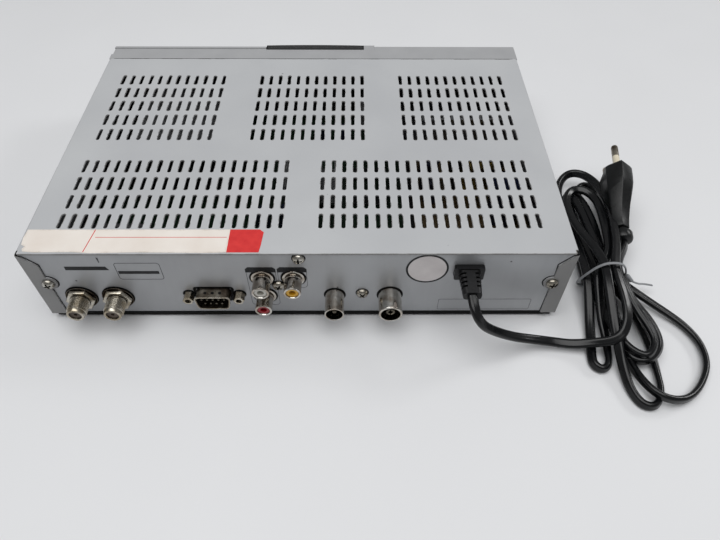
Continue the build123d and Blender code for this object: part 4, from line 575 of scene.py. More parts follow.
FERRITE = plain_finish("grey_ferrite", (48, 47, 46), (64, 62, 60), (0.45, 0.6))
WINDING_TAPE = plain_finish("yellow_winding_tape", (150, 126, 58), (172, 148, 76), (0.3, 0.42))
FRAME_PLASTIC = plain_finish("black_frame_plastic", (26, 26, 28), (38, 38, 40), (0.4, 0.54))
RIBBON_GREY = plain_finish("grey_ribbon_cable", (150, 150, 152), (172, 172, 174), (0.35, 0.5))
WIRE_BROWN = plain_finish("brown_wire_insulation", (86, 52, 34), (104, 66, 44), (0.3, 0.42))
MARK_BLACK = plain_finish(
    "black_print", (14, 15, 17), (26, 27, 30), (0.45, 0.55),
    mottle=400.0, round_by=0, Specular_IOR_Level=0.3)
MARK_GREY = plain_finish(
    "grey_print", (48, 50, 54), (70, 72, 76), (0.4, 0.5), mottle=400.0, round_by=0)
MARK_RED = plain_finish(
    "red_print", (198, 38, 40), (214, 52, 50), (0.35, 0.48), mottle=260.0, round_by=0)
LABEL_WHITE = plain_finish(
    "white_label", (196, 190, 190), (210, 205, 204), (0.35, 0.48), mottle=120.0, round_by=0)
SHADOW_GAP = plain_finish(
    "dark_gap", (5, 5, 5), (9, 9, 9), (0.7, 0.8), round_by=0, Specular_IOR_Level=0.2)


def dress(material, *names):
    """Gives CAD nodes their finish."""
    for name in names:
        for slot in NODES[name].material_slots:
            slot.link = "OBJECT"
            slot.material = material


dress(PANEL_STEEL, "chassis_tray")
dress(SCREW_STEEL, "board_screws", "board_standoffs")
dress(PIN_NICKEL, "serial_shell")
dress(BRIGHT_NICKEL, "aerial_in_shell", "aerial_out_shell")
dress(AERIAL_CONTACT, "aerial_contacts", "serial_pins")
dress(TINPLATE, "tuner_can", "modulator_can", "card_bay_cage")
dress(BLACK_INSERT, "serial_insert", "phono_block", "aerial_insulators", "tact_switches")
dress(WHITE_INSERT, "phono_insulator_white")
dress(RED_INSERT, "phono_insulator_red")
dress(YELLOW_INSERT, "phono_insulator_yellow")
dress(RUBBER, "strain_relief")
dress(FASCIA_SILVER, "front_fascia", "flap_door")
dress(BUTTON_GREY, "standby_button", "channel_down_button", "channel_up_button")
dress(BUTTON_GREY, "upper_ejector", "lower_ejector")
dress(LIGHT_GREEN, "standby_light")
dress(DISPLAY_GLASS, "display_module")
dress(FOOT_RUBBER, "rubber_feet")
dress(BOARD_GREEN, "main_board", "front_board")
dress(BOARD_TAN, "power_board")
dress(CHIP_BLACK, "circuit_chips", "power_transistor")
dress(CAPACITOR_SLEEVE, "capacitors")
dress(SINK_ALUMINIUM, "decoder_heat_sink", "power_heat_sink", "mains_fuse")
dress(FERRITE, "transformer_core", "line_choke")
dress(WINDING_TAPE, "transformer_winding")
dress(FRAME_PLASTIC, "card_bay_frame")
dress(RIBBON_GREY, "ribbon_cable")
dress(WIRE_BROWN, "mains_wires")


# ================ mains cord
# One line from the strain relief to the plug: the lead, then five turns of a tied hank. Each turn
# has its far loop, towards the front, and its near loop, and passes under the tie between them.
LEAD = [
    (-80.4, 98.5, 36.6), (-80.6, 103.2, 35.6), (-82.2, 107.2, 32.2), (-85.6, 108.3, 27),
    (-90.8, 106.9, 21.2), (-97.6, 105.2, 15.2), (-105.6, 103.8, 10.2), (-114.8, 102.6, 6.6),
    (-124.5, 102.7, 4.6), (-133.5, 104.1, 4.4), (-142, 105, 6.6), (-151.7, 106.5, 11),
    (-156.8, 104.2, 14), (-160.5, 95.8, 17), (-161.1, 84.5, 19), (-160.7, 75, 20),
    (-161.5, 65, 20),
]
TURNS = [
    [  # the longest far loop, then the narrow near loop
        (-166.6, 51.5, 18.6), (-169.3, 40.5, 18), (-171.4, 29.5, 17), (-173.2, 18.5, 16),
        (-173.4, 7, 14.6), (-172, -5.5, 13), (-167.6, -15.5, 11.2), (-160, -18.6, 9.8),
        (-152.8, -12, 9), (-148.6, 0, 8.6), (-148, 14, 9), (-149, 30, 9.8), (-150.2, 48, 10.8),
        (-149.6, 65, 11.4), (-148.6, 74, 9.5), (-147.3, 84, 6.2), (-146, 93.1, 3.8),
        (-144.8, 101.5, 2.8), (-143, 109, 2.6), (-142.6, 114.9, 2.6), (-146.6, 117.9, 2.6),
        (-150.7, 114.3, 2.6), (-151.7, 106.3, 2.8), (-152.5, 97.8, 3.6), (-151.9, 90.1, 6.5),
        (-152.2, 81, 10.5), (-152.8, 72.8, 13.5), (-154.5, 65, 15.4),
    ],
    [  # over the far bundle, then the long near loop
        (-162.8, 54, 16.2), (-165, 44, 15.6), (-166.8, 32, 14.9), (-168.2, 20, 14.2),
        (-168, 8.5, 13.6), (-163.2, 0.6, 13.3), (-155.4, 0.8, 13.2), (-150, 10, 13.2),
        (-149.6, 24, 13.8), (-151.6, 38, 16.2), (-154.6, 52, 19), (-156.6, 65, 19.9),
        (-155.6, 74, 19.4), (-155, 83, 17.4), (-154.6, 91.8, 15), (-154.2, 99.8, 12.6),
        (-154.6, 106.7, 10), (-155.2, 113.4, 6.4), (-156, 121.8, 3.4), (-157, 130.1, 2.6),
        (-160.4, 136.8, 2.5), (-166.4, 137.2, 2.5), (-171.2, 130.1, 2.5), (-172.4, 121.1, 2.5),
        (-173.2, 111.9, 2.5), (-173.6, 100.7, 2.5), (-172.8, 89.6, 2.6), (-170.4, 78, 3),
        (-165, 66, 3.6),
    ],
    [  # lowest in the far bundle, then the widest near loop
        (-168.5, 54, 4.5), (-172.5, 40, 4.5), (-175, 26, 4.4), (-176.6, 8, 4), (-176.2, -6, 3.8),
        (-171.2, -14.4, 3.6), (-165.2, -11.5, 3.4), (-163, -1, 3.2), (-162.6, 14, 3.2),
        (-162, 32, 3.2), (-160.2, 50, 3.4), (-157.5, 65, 3.6), (-159, 78, 2.8), (-160, 90, 2.6),
        (-159.8, 104.2, 2.6), (-160.8, 116.3, 3.4), (-162.6, 126.1, 5.6), (-166.2, 133, 6.8),
        (-173.2, 135.7, 5.6), (-182.4, 133.9, 3.6), (-191.6, 126.1, 2.6), (-199.2, 114.4, 2.5),
        (-200.2, 102.1, 2.5), (-195.8, 91.8, 2.5), (-189.4, 85, 3.2), (-182, 79.5, 5),
        (-175.2, 74.5, 7), (-169.5, 69, 8), (-164.5, 61, 8.2),
    ],
    [  # in the far bundle, then the outer of the two short near loops
        (-163, 51, 8.2), (-164, 39, 7.8), (-164.6, 27, 7.4), (-164.4, 13, 7), (-162, 0.5, 6.8),
        (-157.2, -2, 6.6), (-154.6, 7, 6.4), (-154.8, 24, 6.4), (-155.6, 40, 7),
        (-156.4, 54, 7.6), (-156.5, 65, 7.8), (-159.4, 79, 6.2), (-160.6, 91, 4.8),
        (-159.8, 101.9, 4.6), (-159.2, 110.4, 4.9), (-163, 115, 5.6), (-169.8, 114.6, 6.4),
        (-175.8, 108.5, 7.2), (-177, 101, 7.8), (-174.8, 92, 8.8), (-170.8, 85, 10),
        (-167, 76, 11.5), (-164, 65, 12),
    ],
    [  # beside the case and higher, then the inner short near loop
        (-161, 53, 12), (-159.9, 41, 11.4), (-159.4, 28, 10.8), (-158.8, 14, 10.2),
        (-156.4, 3.5, 9.8), (-152.2, 3, 9.6), (-150.8, 13, 9.2), (-151.2, 31, 7.6),
        (-151.6, 44, 5.8), (-151.4, 55, 4.4), (-151.5, 65, 3.8), (-153, 76, 5.8),
        (-154.6, 88, 7.8), (-155.4, 97, 8.4), (-157.4, 105.6, 8.6), (-161.4, 111.8, 9),
        (-167.4, 114.8, 9.6), (-172.8, 107.5, 10.6), (-171.6, 98.9, 11.9), (-168.2, 90.5, 13.4),
        (-165.8, 82, 15), (-165.2, 73, 15.8), (-164.6, 66, 15.6),
    ],
]
PLUG_END = [
    (-166, 60.5, 15.2), (-168.6, 55.4, 14.6), (-171.8, 50.6, 14), (-174.4, 46, 13.4),
    (-175.8, 42, 13.1), (-176.2, 38.8, 13.3),
]
LEANS = (  # degrees: in the far loop, and at the start and the end of the near loop
    (8.0, 8.0, 45.0),  # lead
    (-45.0, 30.0, 84.0),  # five turns
    (-40.0, 40.0, 80.0),
    (-40.0, 120.0, 64.0),
    (-40.0, 85.0, 100.0),
    (-40.0, 85.0, 100.0),
)
FLAT_LEAN = 15.0  # in the middle of the hank
PLUG_LEAN = 96.0  # where the cord enters the plug
HANK_MIDDLE = 45.0
FAR_EDGE = 25.0  # how far from the middle the cord starts to lean, in a far loop
NEAR_EDGE = 45.0  # and in a near loop
LEAN_RUN = 25.0  # and how much further until it leans fully
NEAR_LOOP_START = 60.0
CORD_CORE = 0.9  # from the middle of the flat cord to each of its two cores
CORD_ROUND = 1.55
CORD_GROOVE = 0.12
LINE_STEPS = 5
SMOOTHING = (12, 8)  # how many points to each side, first and second time


def cord_section():
    """Two round cores side by side with a shallow groove between them."""
    half = arc(CORD_CORE, 0, CORD_ROUND, -84, 84, 9)
    half += [(CORD_CORE * 0.45, CORD_ROUND - CORD_GROOVE * 0.55), (0, CORD_ROUND - CORD_GROOVE)]
    return half + [(-x, -y) for x, y in half]


def leans_along(run, leans):
    """Flat where the hank is gathered, and up on edge towards its loops."""
    far, start, end = leans
    near = [i for i, place in enumerate(run) if place[1] > NEAR_LOOP_START]
    result = []
    for i, place in enumerate(run):
        edge = NEAR_EDGE if place[1] > HANK_MIDDLE else FAR_EDGE
        share = (abs(place[1] - HANK_MIDDLE) - edge) / LEAN_RUN
        share = min(max(share, 0.0), 1.0)
        share = share * share * (3 - 2 * share)
        most = far
        if i in near:
            most = start + (end - start) * (i - near[0]) / (near[-1] - near[0])
        result.append(FLAT_LEAN + (most - FLAT_LEAN) * share)
    return result


def cord_sides(path):
    """The direction of the cord's flat width at each point, smoothed along it."""
    leans = [lean for run, given in zip([LEAD] + TURNS, LEANS) for lean in leans_along(run, given)]
    count = len(PLUG_END)
    leans += [FLAT_LEAN + (PLUG_LEAN - FLAT_LEAN) * i / count for i in range(count)]
    sides = []
    for i in range(len(path)):
        along = path[min(i + 1, len(path) - 1)] - path[max(i - 1, 0)]
        level = along.cross(Vector((0, 0, 1))).normalized()
        upright = level.cross(along).normalized()
        lean = radians(leans[min(i // LINE_STEPS + 1, len(leans) - 1)])
        sides.append(level * cos(lean) - upright * sin(lean))
    for reach in SMOOTHING:
        sides = smoothed(sides, reach)
    return sides


def make_cord():
    """The flat cord lies flat as it leaves the case and stands on edge where it loops."""
    route = [place for run in [LEAD] + TURNS + [PLUG_END] for place in run]
    path = spline_points("cord_line", route, LINE_STEPS)
    shape = swept(path, cord_sides(path), cord_section())
    replaced = ("mains_lead", "mains_hank", "plug_lead")
    return new_piece("mains_cord", [shape], CORD_PVC, replaced, sharp=60.0), path


cord, cord_path = make_cord()

# ---------------- twist tie
TIE_LOOP = [
    (-167.6, 69, 14.6), (-167, 68.2, 19), (-164.6, 67.4, 22.4), (-161.4, 67, 23.3),
    (-156, 66.8, 22.9), (-151.4, 67, 19.8), (-147.6, 67.4, 14.8), (-145.8, 66.6, 9.6),
    (-145.4, 65.2, 5.2), (-147.6, 63.8, 1.4), (-155, 63, 0.8), (-162, 63.4, 0.8),
    (-167.6, 64.6, 1.8), (-169.4, 66.4, 7), (-168.6, 68.2, 12.6), (-168.6, 69.2, 15),
]
TIE_END = [
    (-172, 69.4, 11.2), (-176.5, 69, 8.4), (-180.5, 68.2, 7.4), (-185.5, 67.6, 5.4),
]
TWIST_START = Vector((-168.2, 68.8, 15.4))
TWIST_END = Vector((-171.4, 69.6, 11.8))
TWIST_TURNS = 2.6
TWIST_RADIUS = 0.8
TWIST_STEPS = 40
TIE_SECTION = [
    (-0.8, 0.0), (-0.55, 0.24), (-0.3, 0.46), (0.3, 0.46), (0.55, 0.24),
    (0.8, 0.0), (0.55, -0.22), (0.3, -0.4), (-0.3, -0.4), (-0.55, -0.22),
]


def make_tie():
    """A thin strip with a wire in it, once round the hank, twisted, with one end left long."""
    loop = spline_points("tie_line", TIE_LOOP, 6)
    shapes = [swept(loop, [Vector((0, 1, 0))] * len(loop), TIE_SECTION)]
    axis = (TWIST_END - TWIST_START).normalized()
    across = axis.cross(Vector((0, 1, 0))).normalized()
    beside = axis.cross(across)
    narrow = [(x * 0.8, y) for x, y in TIE_SECTION]
    for phase in (0.0, pi):
        strand = []
        for i in range(TWIST_STEPS + 1):
            turn = phase + 2 * pi * TWIST_TURNS * i / TWIST_STEPS
            middle = TWIST_START.lerp(TWIST_END, i / TWIST_STEPS)
            strand.append(middle + (across * cos(turn) + beside * sin(turn)) * TWIST_RADIUS)
        shapes.append(swept(strand, [axis] * len(strand), narrow))
    tail = spline_points("tie_tail_line", [tuple(TWIST_END)] + TIE_END, 6)
    shapes.append(swept(tail, [Vector((0.2, 1.0, 0.5))] * len(tail), TIE_SECTION))
    return new_piece("cord_twist_tie", shapes, TIE_GREY, ("twist_tie",))


tie = make_tie()

# ---------------- plug
PLUG_PLACE = (
    Matrix.Translation((-180.1, -2.6, 17.72))
    @ Matrix.Rotation(radians(-8.4), 4, "Z")
    @ Matrix.Rotation(radians(-5.6), 4, "X")
    @ Matrix.Rotation(radians(3.4), 4, "Y")
)
PLUG_STATIONS = (  # way behind the pin face, half widths at ridge and flat, half thickness, grip
    (0.0, 17.0, 12.6, 5.7, 1.2), (0.9, 17.65, 13.05, 6.0, 1.4), (6.0, 17.3, 12.9, 6.0, 1.4),
    (11.0, 16.6, 12.3, 6.0, 1.3), (14.0, 15.6, 11.4, 5.9, 1.1), (17.0, 14.0, 10.2, 5.8, 0.8),
    (20.0, 12.1, 8.7, 5.7, 0.5), (24.0, 10.0, 7.0, 5.3, 0.3), (28.0, 8.3, 5.6, 4.9, 0.3),
    (32.0, 7.0, 4.5, 4.5, 0.3), (36.0, 6.2, 3.8, 4.2, 0.3), (38.6, 5.9, 3.6, 4.1, 0.3),
)
PLUG_ROUNDING = 0.9
KNOB_PLACE = (-1.2, 0.2)
PLUG_KNOB = (
    (0, 38.0), (3.5, 38.2), (3.5, 39.6), (4.8, 40.1), (5.3, 41.2), (5.3, 44.4), (4.8, 45.6),
    (3.4, 46.2), (0, 46.4),
)
PIN_SPACING = 18.6
PIN_LENGTH = 19.0
PIN_RADIUS = 2.0
PIN_NECK = 1.7
SLEEVE_LENGTH = 10.0


def placed(shape):
    """A shape of the plug, put where the plug lies."""
    points, faces = shape
    return [PLUG_PLACE @ Vector(point) for point in points], faces


def plug_shape():
    """Ten-sided rings, ridged on the narrow sides, from the pin face to the waist."""
    rings = []
    for y, ridge, flat, thick, grip in PLUG_STATIONS:
        inset = flat - 0.12 * flat
        half = [
            (0, y, ridge), (thick, y, flat), (thick + grip, y, inset), (thick + grip, y, -inset),
            (thick, y, -flat),
        ]
        rings.append(half + [(-x, y, -z) for x, y, z in half])
    return lofted(rings)


def make_plug():
    """A moulded two-pin plug: ridged narrow sides, a slim waist and a knob at the cord."""
    body = helper("plug_rough", [placed(plug_shape())])
    round_corners(body, PLUG_ROUNDING, 3, 20)
    knob = helper("plug_knob_rough", [placed(turned(PLUG_KNOB, *KNOB_PLACE, 28))])
    combine(body, "UNION", knob)
    mesh = baked_mesh(body, "plug_moulding", knob)
    moulding = finish_piece("plug_moulding", mesh, PLUG_PVC, ("plug_body",), 38.0)
    tip = -PIN_LENGTH
    front = -SLEEVE_LENGTH
    pin = (
        (0, tip), (1.2, tip + 0.1), (1.8, tip + 0.7), (PIN_RADIUS, tip + 1.6), (PIN_RADIUS, front),
        (PIN_NECK, front + 0.2), (PIN_NECK, 1.0), (0, 1.0),
    )
    sleeve = (
        (PIN_NECK + 0.05, 0.5), (PIN_NECK + 0.05, front), (PIN_RADIUS - 0.05, front),
        (PIN_RADIUS, front + 0.3), (PIN_RADIUS, 0.5),
    )
    pins, sleeves = [], []
    for z in (-PIN_SPACING / 2, PIN_SPACING / 2):
        pins.append(placed(turned(pin, 0, z, 28)))
        sleeves.append(placed(turned(sleeve, 0, z, 28)))
    return [
        moulding,
        new_piece("tarnished_plug_pins", pins, PIN_NICKEL, ("plug_pins",)),
        new_piece("pin_sleeves", sleeves, PIN_SLEEVE, ("plug_sleeves",)),
    ]


make_plug() + [tie]


# ================ top cover
SLOT_BANDS = (  # columns, rows, first column X, first row Y
    (20, 4, -114.9, 63.1),
    (20, 4, 9.545, 63.1),
    (12, 5, -114.9, -3.9),
    (12, 5, -30.4975, -3.9),
    (12, 5, 53.905, -3.9),
)
SLOT_SIZES = {"Slot Width": 2.06, "Slot Length": 9.8, "Column Pitch": 5.545, "Row Pitch": 13.4}
SLOT_CORNERS = 16
RELIEF_RADIUS = 0.9


class SlotTree(Nodes):
    """Geometry nodes that punch rows of rounded slots out of a sheet."""

    def __init__(self):
        super().__init__(bpy.data.node_groups.new("slotted_sheet", "GeometryNodeTree"))
        self.tree.is_modifier = True
        face = self.tree.interface
        face.new_socket("Geometry", in_out="INPUT", socket_type="NodeSocketGeometry")
        face.new_socket("Geometry", in_out="OUTPUT", socket_type="NodeSocketGeometry")
        self.identifiers = {}
        for name in SLOT_SIZES:
            socket = face.new_socket(name, in_out="INPUT", socket_type="NodeSocketFloat")
            self.identifiers[name] = socket.identifier
        self.given = self.tree.nodes.new("NodeGroupInput").outputs

    def punch(self):
        """One slot: a cylinder whose two halves are moved apart."""
        width = self.given["Slot Width"]
        round_punch = self.add("GeometryNodeMeshCylinder", {
            "Vertices": SLOT_CORNERS,
            "Radius": self.times(width, 0.5),
            "Depth": 4 * SHEET * MM,
        }, fill_type="NGON")
        half_step = (0.0, 0.0, pi / SLOT_CORNERS)
        inputs = {"Geometry": round_punch, "Rotation": half_step}
        turned_punch = self.add("GeometryNodeTransform", inputs)
        place = self.add("GeometryNodeInputPosition", {})
        end = self.math("SIGN", self.add("ShaderNodeSeparateXYZ", {0: place}, "Y"))
        half_run = self.times(self.math("SUBTRACT", self.given["Slot Length"], width), 0.5)
        offset = self.add("ShaderNodeCombineXYZ", {"Y": self.times(end, half_run)})
        inputs = {"Geometry": turned_punch, "Offset": offset}
        return self.add("GeometryNodeSetPosition", inputs)

    def band(self, columns, rows, x, y):
        """A grid of points, one for each slot of a band."""
        width = self.times(self.given["Column Pitch"], float(columns - 1))
        depth = self.times(self.given["Row Pitch"], float(rows - 1))
        grid = self.add("GeometryNodeMeshGrid", {
            "Vertices X": columns, "Vertices Y": rows, "Size X": width, "Size Y": depth,
        })
        place = self.add("ShaderNodeCombineXYZ", {
            "X": self.math("ADD", self.times(width, 0.5), x * MM),
            "Y": self.math("SUBTRACT", y * MM, self.times(depth, 0.5)),
            "Z": CASE_HEIGHT * MM,
        })
        return self.add("GeometryNodeTransform", {"Geometry": grid, "Translation": place})

    def finish(self):
        """Slots on every point, cut from the sheet, and the sheet painted."""
        joint = self.tree.nodes.new("GeometryNodeJoinGeometry")
        for band in SLOT_BANDS:
            self.link(joint.inputs[0], self.band(*band))
        inputs = {"Points": joint.outputs[0], "Instance": self.punch()}
        slots = self.add("GeometryNodeInstanceOnPoints", inputs)
        real = self.add("GeometryNodeRealizeInstances", {0: slots})
        inputs = {"Mesh 1": self.given["Geometry"], "Mesh 2": real}
        cut = self.add(
            "GeometryNodeMeshBoolean", inputs, operation="DIFFERENCE", solver="EXACT")
        paint = {"Geometry": cut, "Material": COVER_PAINT}
        painted = self.add("GeometryNodeSetMaterial", paint)
        self.link(self.tree.nodes.new("NodeGroupOutput").inputs[0], painted)
        return self.tree


def make_cover():
    """The folded sheet with its two rear corner flanges, relief holes and slots."""
    fold = (HALF_WIDTH - FOLD, CASE_HEIGHT - FOLD)
    outer = [(HALF_WIDTH, FOOT_HEIGHT)] + arc(*fold, FOLD, 0, 90, 5)
    inner = arc(*fold, FOLD - SHEET, 90, 0, 3) + [(HALF_WIDTH - SHEET, FOOT_HEIGHT)]
    outline = outer + mirrored(outer) + mirrored(inner) + inner
    arch = helper("cover_arch", [prism(outline, COVER_FRONT, REAR + SHEET)])
    side = HALF_WIDTH - 0.2
    base = FOOT_HEIGHT + 0.02
    flange = [
        (side, base), (side, CASE_HEIGHT - 1.1), (HALF_WIDTH - SHEET, CASE_HEIGHT - 1.2),
        (FLANGE_EDGE, FLANGE_SHOULDER),
        *arc(FLANGE_EDGE, EAR_HEIGHT, EAR_RADIUS, 90, 270, 14),
        (FLANGE_EDGE, base),
    ]
    back, face = REAR + 0.12, REAR + SHEET - 0.01
    pair = [prism(shape, back, face) for shape in (flange, mirrored(flange))]
    flanges = helper("cover_flanges", pair)
    hole = [
        (0, REAR - 1.5), (RELIEF_RADIUS, REAR - 1.5), (RELIEF_RADIUS, REAR + 2.5), (0, REAR + 2.5),
    ]
    corner = (HALF_WIDTH - 0.8, CASE_HEIGHT - 0.8)
    pair = [turned(hole, way * corner[0], corner[1], 16) for way in (-1, 1)]
    holes = helper("cover_reliefs", pair)
    combine(arch, "UNION", flanges)
    combine(arch, "DIFFERENCE", holes)
    slots = SlotTree()
    punching = arch.modifiers.new("slots", "NODES")
    punching.node_group = slots.finish()
    for name, identifier in slots.identifiers.items():
        punching[identifier] = SLOT_SIZES[name] * MM
    mesh = baked_mesh(arch, "slotted_cover", flanges, holes)
    finish_piece("slotted_cover", mesh, COVER_PAINT, ("top_cover",), 25.0)


make_cover()


# ================ rear sockets and screws
F_PLACES = ((110.3, 17.2), (92.2, 17.2))
PHONO_PLACES = ((18.7, 31.6), (18.7, 18.0), (3.6, 31.6))
AERIAL_OUT = (-16.0, 18.4)
AERIAL_IN = (-43.5, 18.4)
SERIAL_PLACE = (43.8, 19.2)
JACKSCREW_OFFSET = 12.495
JACKSCREW_RADIUS = 2.75
PANEL_SCREWS = ((0.2, 46.0), (11.2, 26.3), (-29.7, 20.0))
FLANGE_SCREWS = ((122.3, 28.5), (-122.3, 28.5))
THREAD_START = 3.4  # behind the panel's face, as the next
THREAD_END = 10.2
THREAD_RIDGES = 9
THREAD_ROOT = 4.42
THREAD_CREST = 4.76
CROSS_LENGTH = 1.75  # half lengths of the screws' cross recess
CROSS_WIDTH = 0.45
CROSS_BASE = 0.75


def behind_panel(profile, places, around):
    """Turned shapes at (x, z) places, from (radius, distance behind the panel) corners."""
    loop = [(radius, REAR + y) for radius, y in profile]
    return [turned(loop, x, z, around) for x, z in places]


def make_f_parts():
    """Threaded barrels, their insulators and dished washers."""
    pitch = (THREAD_END - THREAD_START) / THREAD_RIDGES
    barrel = [(4.6, 3.2)]
    for ridge in range(THREAD_RIDGES):
        y = THREAD_START + ridge * pitch
        barrel += [
            (THREAD_ROOT, y), (THREAD_CREST, y + 0.3 * pitch),
            (THREAD_CREST, y + 0.5 * pitch), (THREAD_ROOT, y + 0.8 * pitch),
        ]
    barrel += [
        (THREAD_ROOT, THREAD_END), (THREAD_ROOT, THREAD_END + 0.5), (4.1, 11.8), (3.9, 12.0),
        (3.15, 12.0), (3.0, 11.8), (3.0, 0.0), (4.6, -0.8),
    ]
    barrels = behind_panel(barrel, F_PLACES, 48)
    new_piece("threaded_f_barrels", barrels, NICKEL, ("lnb_sockets",), 24.0)
    disc = ((0.9, 11.2), (3.0, 11.2), (3.0, 4.0), (0.9, 4.0))
    discs = behind_panel(disc, F_PLACES, 32)
    new_piece("f_insulator_discs", discs, BROWN_INSERT, ("lnb_insulators",))
    washer = (
        (4.62, 0.5), (6.6, 0.6), (7.5, 1.15), (7.62, 1.0), (7.5, 0.75), (6.6, 0.2), (4.62, 0.1),
    )
    washers = behind_panel(washer, F_PLACES, 48)
    new_piece("dished_f_washers", washers, DARK_NICKEL, ("lnb_washers",), 30.0)


def make_phono_barrels():
    """Turned sleeves with a rolled lip that holds the coloured insulator."""
    collar = [(4.15, 0.9), (5.1, 0.85), (5.45, 0.6), (5.45, -0.6), (3.5, -0.6)]
    lip = [(3.5, 8.9), (3.05, 9.35), (3.2, 9.7), (3.7, 9.85), (4.1, 9.6), (4.15, 9.2)]
    step = [(4.15, 2.4), (4.35, 2.3), (4.35, 1.7), (4.15, 1.6)]
    shapes = behind_panel(collar + lip + step, PHONO_PLACES, 44)
    new_piece("rolled_phono_barrels", shapes, BRIGHT_NICKEL, ("phono_barrels",), 34.0)


def make_screws():
    """Pan heads with a deep cross recess."""
    profile = ((0, 2.3), (1.0, 2.25), (1.9, 1.95), (2.6, 1.4), (2.95, 0.7), (3.0, 0.0), (0, 0.0))
    places = [(x, z, REAR) for x, z in PANEL_SCREWS]
    places += [(x, z, REAR + SHEET) for x, z in FLANGE_SCREWS]
    heads, slots = [], []
    for number, (x, z, face) in enumerate(places):
        heads.append(turned([(radius, face + y) for radius, y in profile], x, z, 32))
        for quarter in (0, 1):
            angle = radians(25 * number + 90 * quarter)
            outline = []
            for u, v in rectangle(-CROSS_LENGTH, CROSS_LENGTH, -CROSS_WIDTH, CROSS_WIDTH):
                across = x + u * cos(angle) - v * sin(angle)
                outline.append((across, z + u * sin(angle) + v * cos(angle)))
            base = face + CROSS_BASE + 0.01 * quarter
            slots.append(prism(outline, base, base + 2.25))
    rough = helper("screw_heads_rough", heads)
    crosses = helper("screw_crosses", slots)
    combine(rough, "DIFFERENCE", crosses).use_self = True
    mesh = baked_mesh(rough, "cross_head_screws", crosses)
    finish_piece("cross_head_screws", mesh, SCREW_STEEL, ("panel_screws",), 35.0)


def trapezoid(x, z, half_top, half_base, half_tall, radius):
    """A D-shaped outline: wide edge up, corners rounded."""
    corners = (
        Vector((half_top, half_tall)), Vector((-half_top, half_tall)),
        Vector((-half_base, -half_tall)), Vector((half_base, -half_tall)),
    )
    outline = []
    for i, here in enumerate(corners):
        start = here + (corners[i - 1] - here).normalized() * radius
        end = here + (corners[(i + 1) % 4] - here).normalized() * radius
        for step in range(7):
            t = step / 6
            point = start * (1 - t) ** 2 + here * 2 * t * (1 - t) + end * t ** 2
            outline.append((x + point.x, z + point.y))
    return outline


def make_serial_trim():
    """The shell's lip in a lighter nickel as a painted highlight, its three dimples as painted
    shade, and short hexagonal jackscrews.
    """
    x, z = SERIAL_PLACE
    lip = trapezoid(x, z, 9.0, 7.6, 4.6, 2.2)
    # Painted highlight: the lip is a lighter nickel than the shell behind it.
    new_piece("serial_lip", [ring_prism(lip, 0.38, REAR + 5.7, REAR + 6.08)], NICKEL)
    # Painted shade: the three dimples are dark discs.
    dimples = [
        slab(circle(x + offset, REAR + 3.0, 0.8, 16), z + 4.44, z + 4.56)
        for offset in (-3.6, 0.0, 3.6)
    ]
    new_piece("serial_dimples", dimples, SHADOW_GAP)
    bush = ((1.5, 4.75), (2.2, 4.75), (2.35, 4.5), (1.5, 4.5))
    core = ((0, 2.6), (1.9, 2.6), (1.9, 0.3), (0, 0.3))
    screws = []
    for way in (-1, 1):
        place = (x + way * JACKSCREW_OFFSET, z)
        hexagon = circle(*place, JACKSCREW_RADIUS, 6)
        screws.append(ring_prism(hexagon, 0.95, REAR + 0.4, REAR + 4.6))
        screws += behind_panel(bush, [place], 24) + behind_panel(core, [place], 20)
    new_piece("serial_hex_screws", screws, NICKEL, ("serial_jackscrews",))


def make_dark_gaps():
    """The shadow lines where sockets and flanges meet the panel, and painted shade in the corner
    relief holes.
    """
    y = (REAR - 0.05, REAR + 0.04)
    x, z = SERIAL_PLACE
    shapes = [ring_prism(trapezoid(x, z, 10.3, 9.0, 5.7, 2.6), 1.5, *y)]
    for places, radius, width in (
        (((x - JACKSCREW_OFFSET, z), (x + JACKSCREW_OFFSET, z)), 3.3, 1.2),
        (PHONO_PLACES, 6.15, 0.9),
        ((AERIAL_OUT,), 5.5, 1.0),
        ((AERIAL_IN,), 6.6, 1.0),
        (F_PLACES, 8.0, 1.4),
        (PANEL_SCREWS, 3.35, 0.8),
    ):
        shapes += [ring_prism(circle(*place, radius), width, *y) for place in places]
    inner = [
        (128.9, 48.95), (FLANGE_EDGE, FLANGE_SHOULDER),
        *arc(FLANGE_EDGE, EAR_HEIGHT, EAR_RADIUS, 90, 270, 14),
        (FLANGE_EDGE, FOOT_HEIGHT + 0.1),
    ]
    outer = [
        (128.5, 48.95), (FLANGE_EDGE - 0.5, FLANGE_SHOULDER + 0.3),
        *arc(FLANGE_EDGE - 0.1, EAR_HEIGHT + 0.1, EAR_RADIUS + 0.55, 90, 270, 14),
        (FLANGE_EDGE - 0.5, FOOT_HEIGHT + 0.1),
    ]
    for way in (1, -1):
        for i in range(len(inner) - 1):
            strip = (inner[i], inner[i + 1], outer[i + 1], outer[i])
            shapes.append(prism([(way * px, pz) for px, pz in strip], *y))
    # Painted shade: dark plugs in the two corner relief holes.
    relief = ((0, -1.4), (1.05, -1.4), (1.05, 0.6), (0, 0.6))
    corner = (HALF_WIDTH - 1.1, CASE_HEIGHT - 1.1)
    shapes += behind_panel(relief, [(way * corner[0], corner[1]) for way in (-1, 1)], 16)
    new_piece("dark_gaps", shapes, SHADOW_GAP)


make_f_parts()
chamfered("chamfered_f_nuts", "lnb_nuts", 0.45, NICKEL)
make_phono_barrels()
make_screws()
make_serial_trim()
make_dark_gaps()


# ================ display window and seams
WINDOW_LEFT = -32.0
WINDOW_RIGHT = 31.35
WINDOW_BASE = 15.0
WINDOW_BOW = 0.6
BOW_STEPS = 24
OPENING_LEFT = -38.95
OPENING_BACK = -91.2
RETURN_BACK = -92.8  # how far the window runs back over the top of the fascia
WINDOW_RIM = 0.7


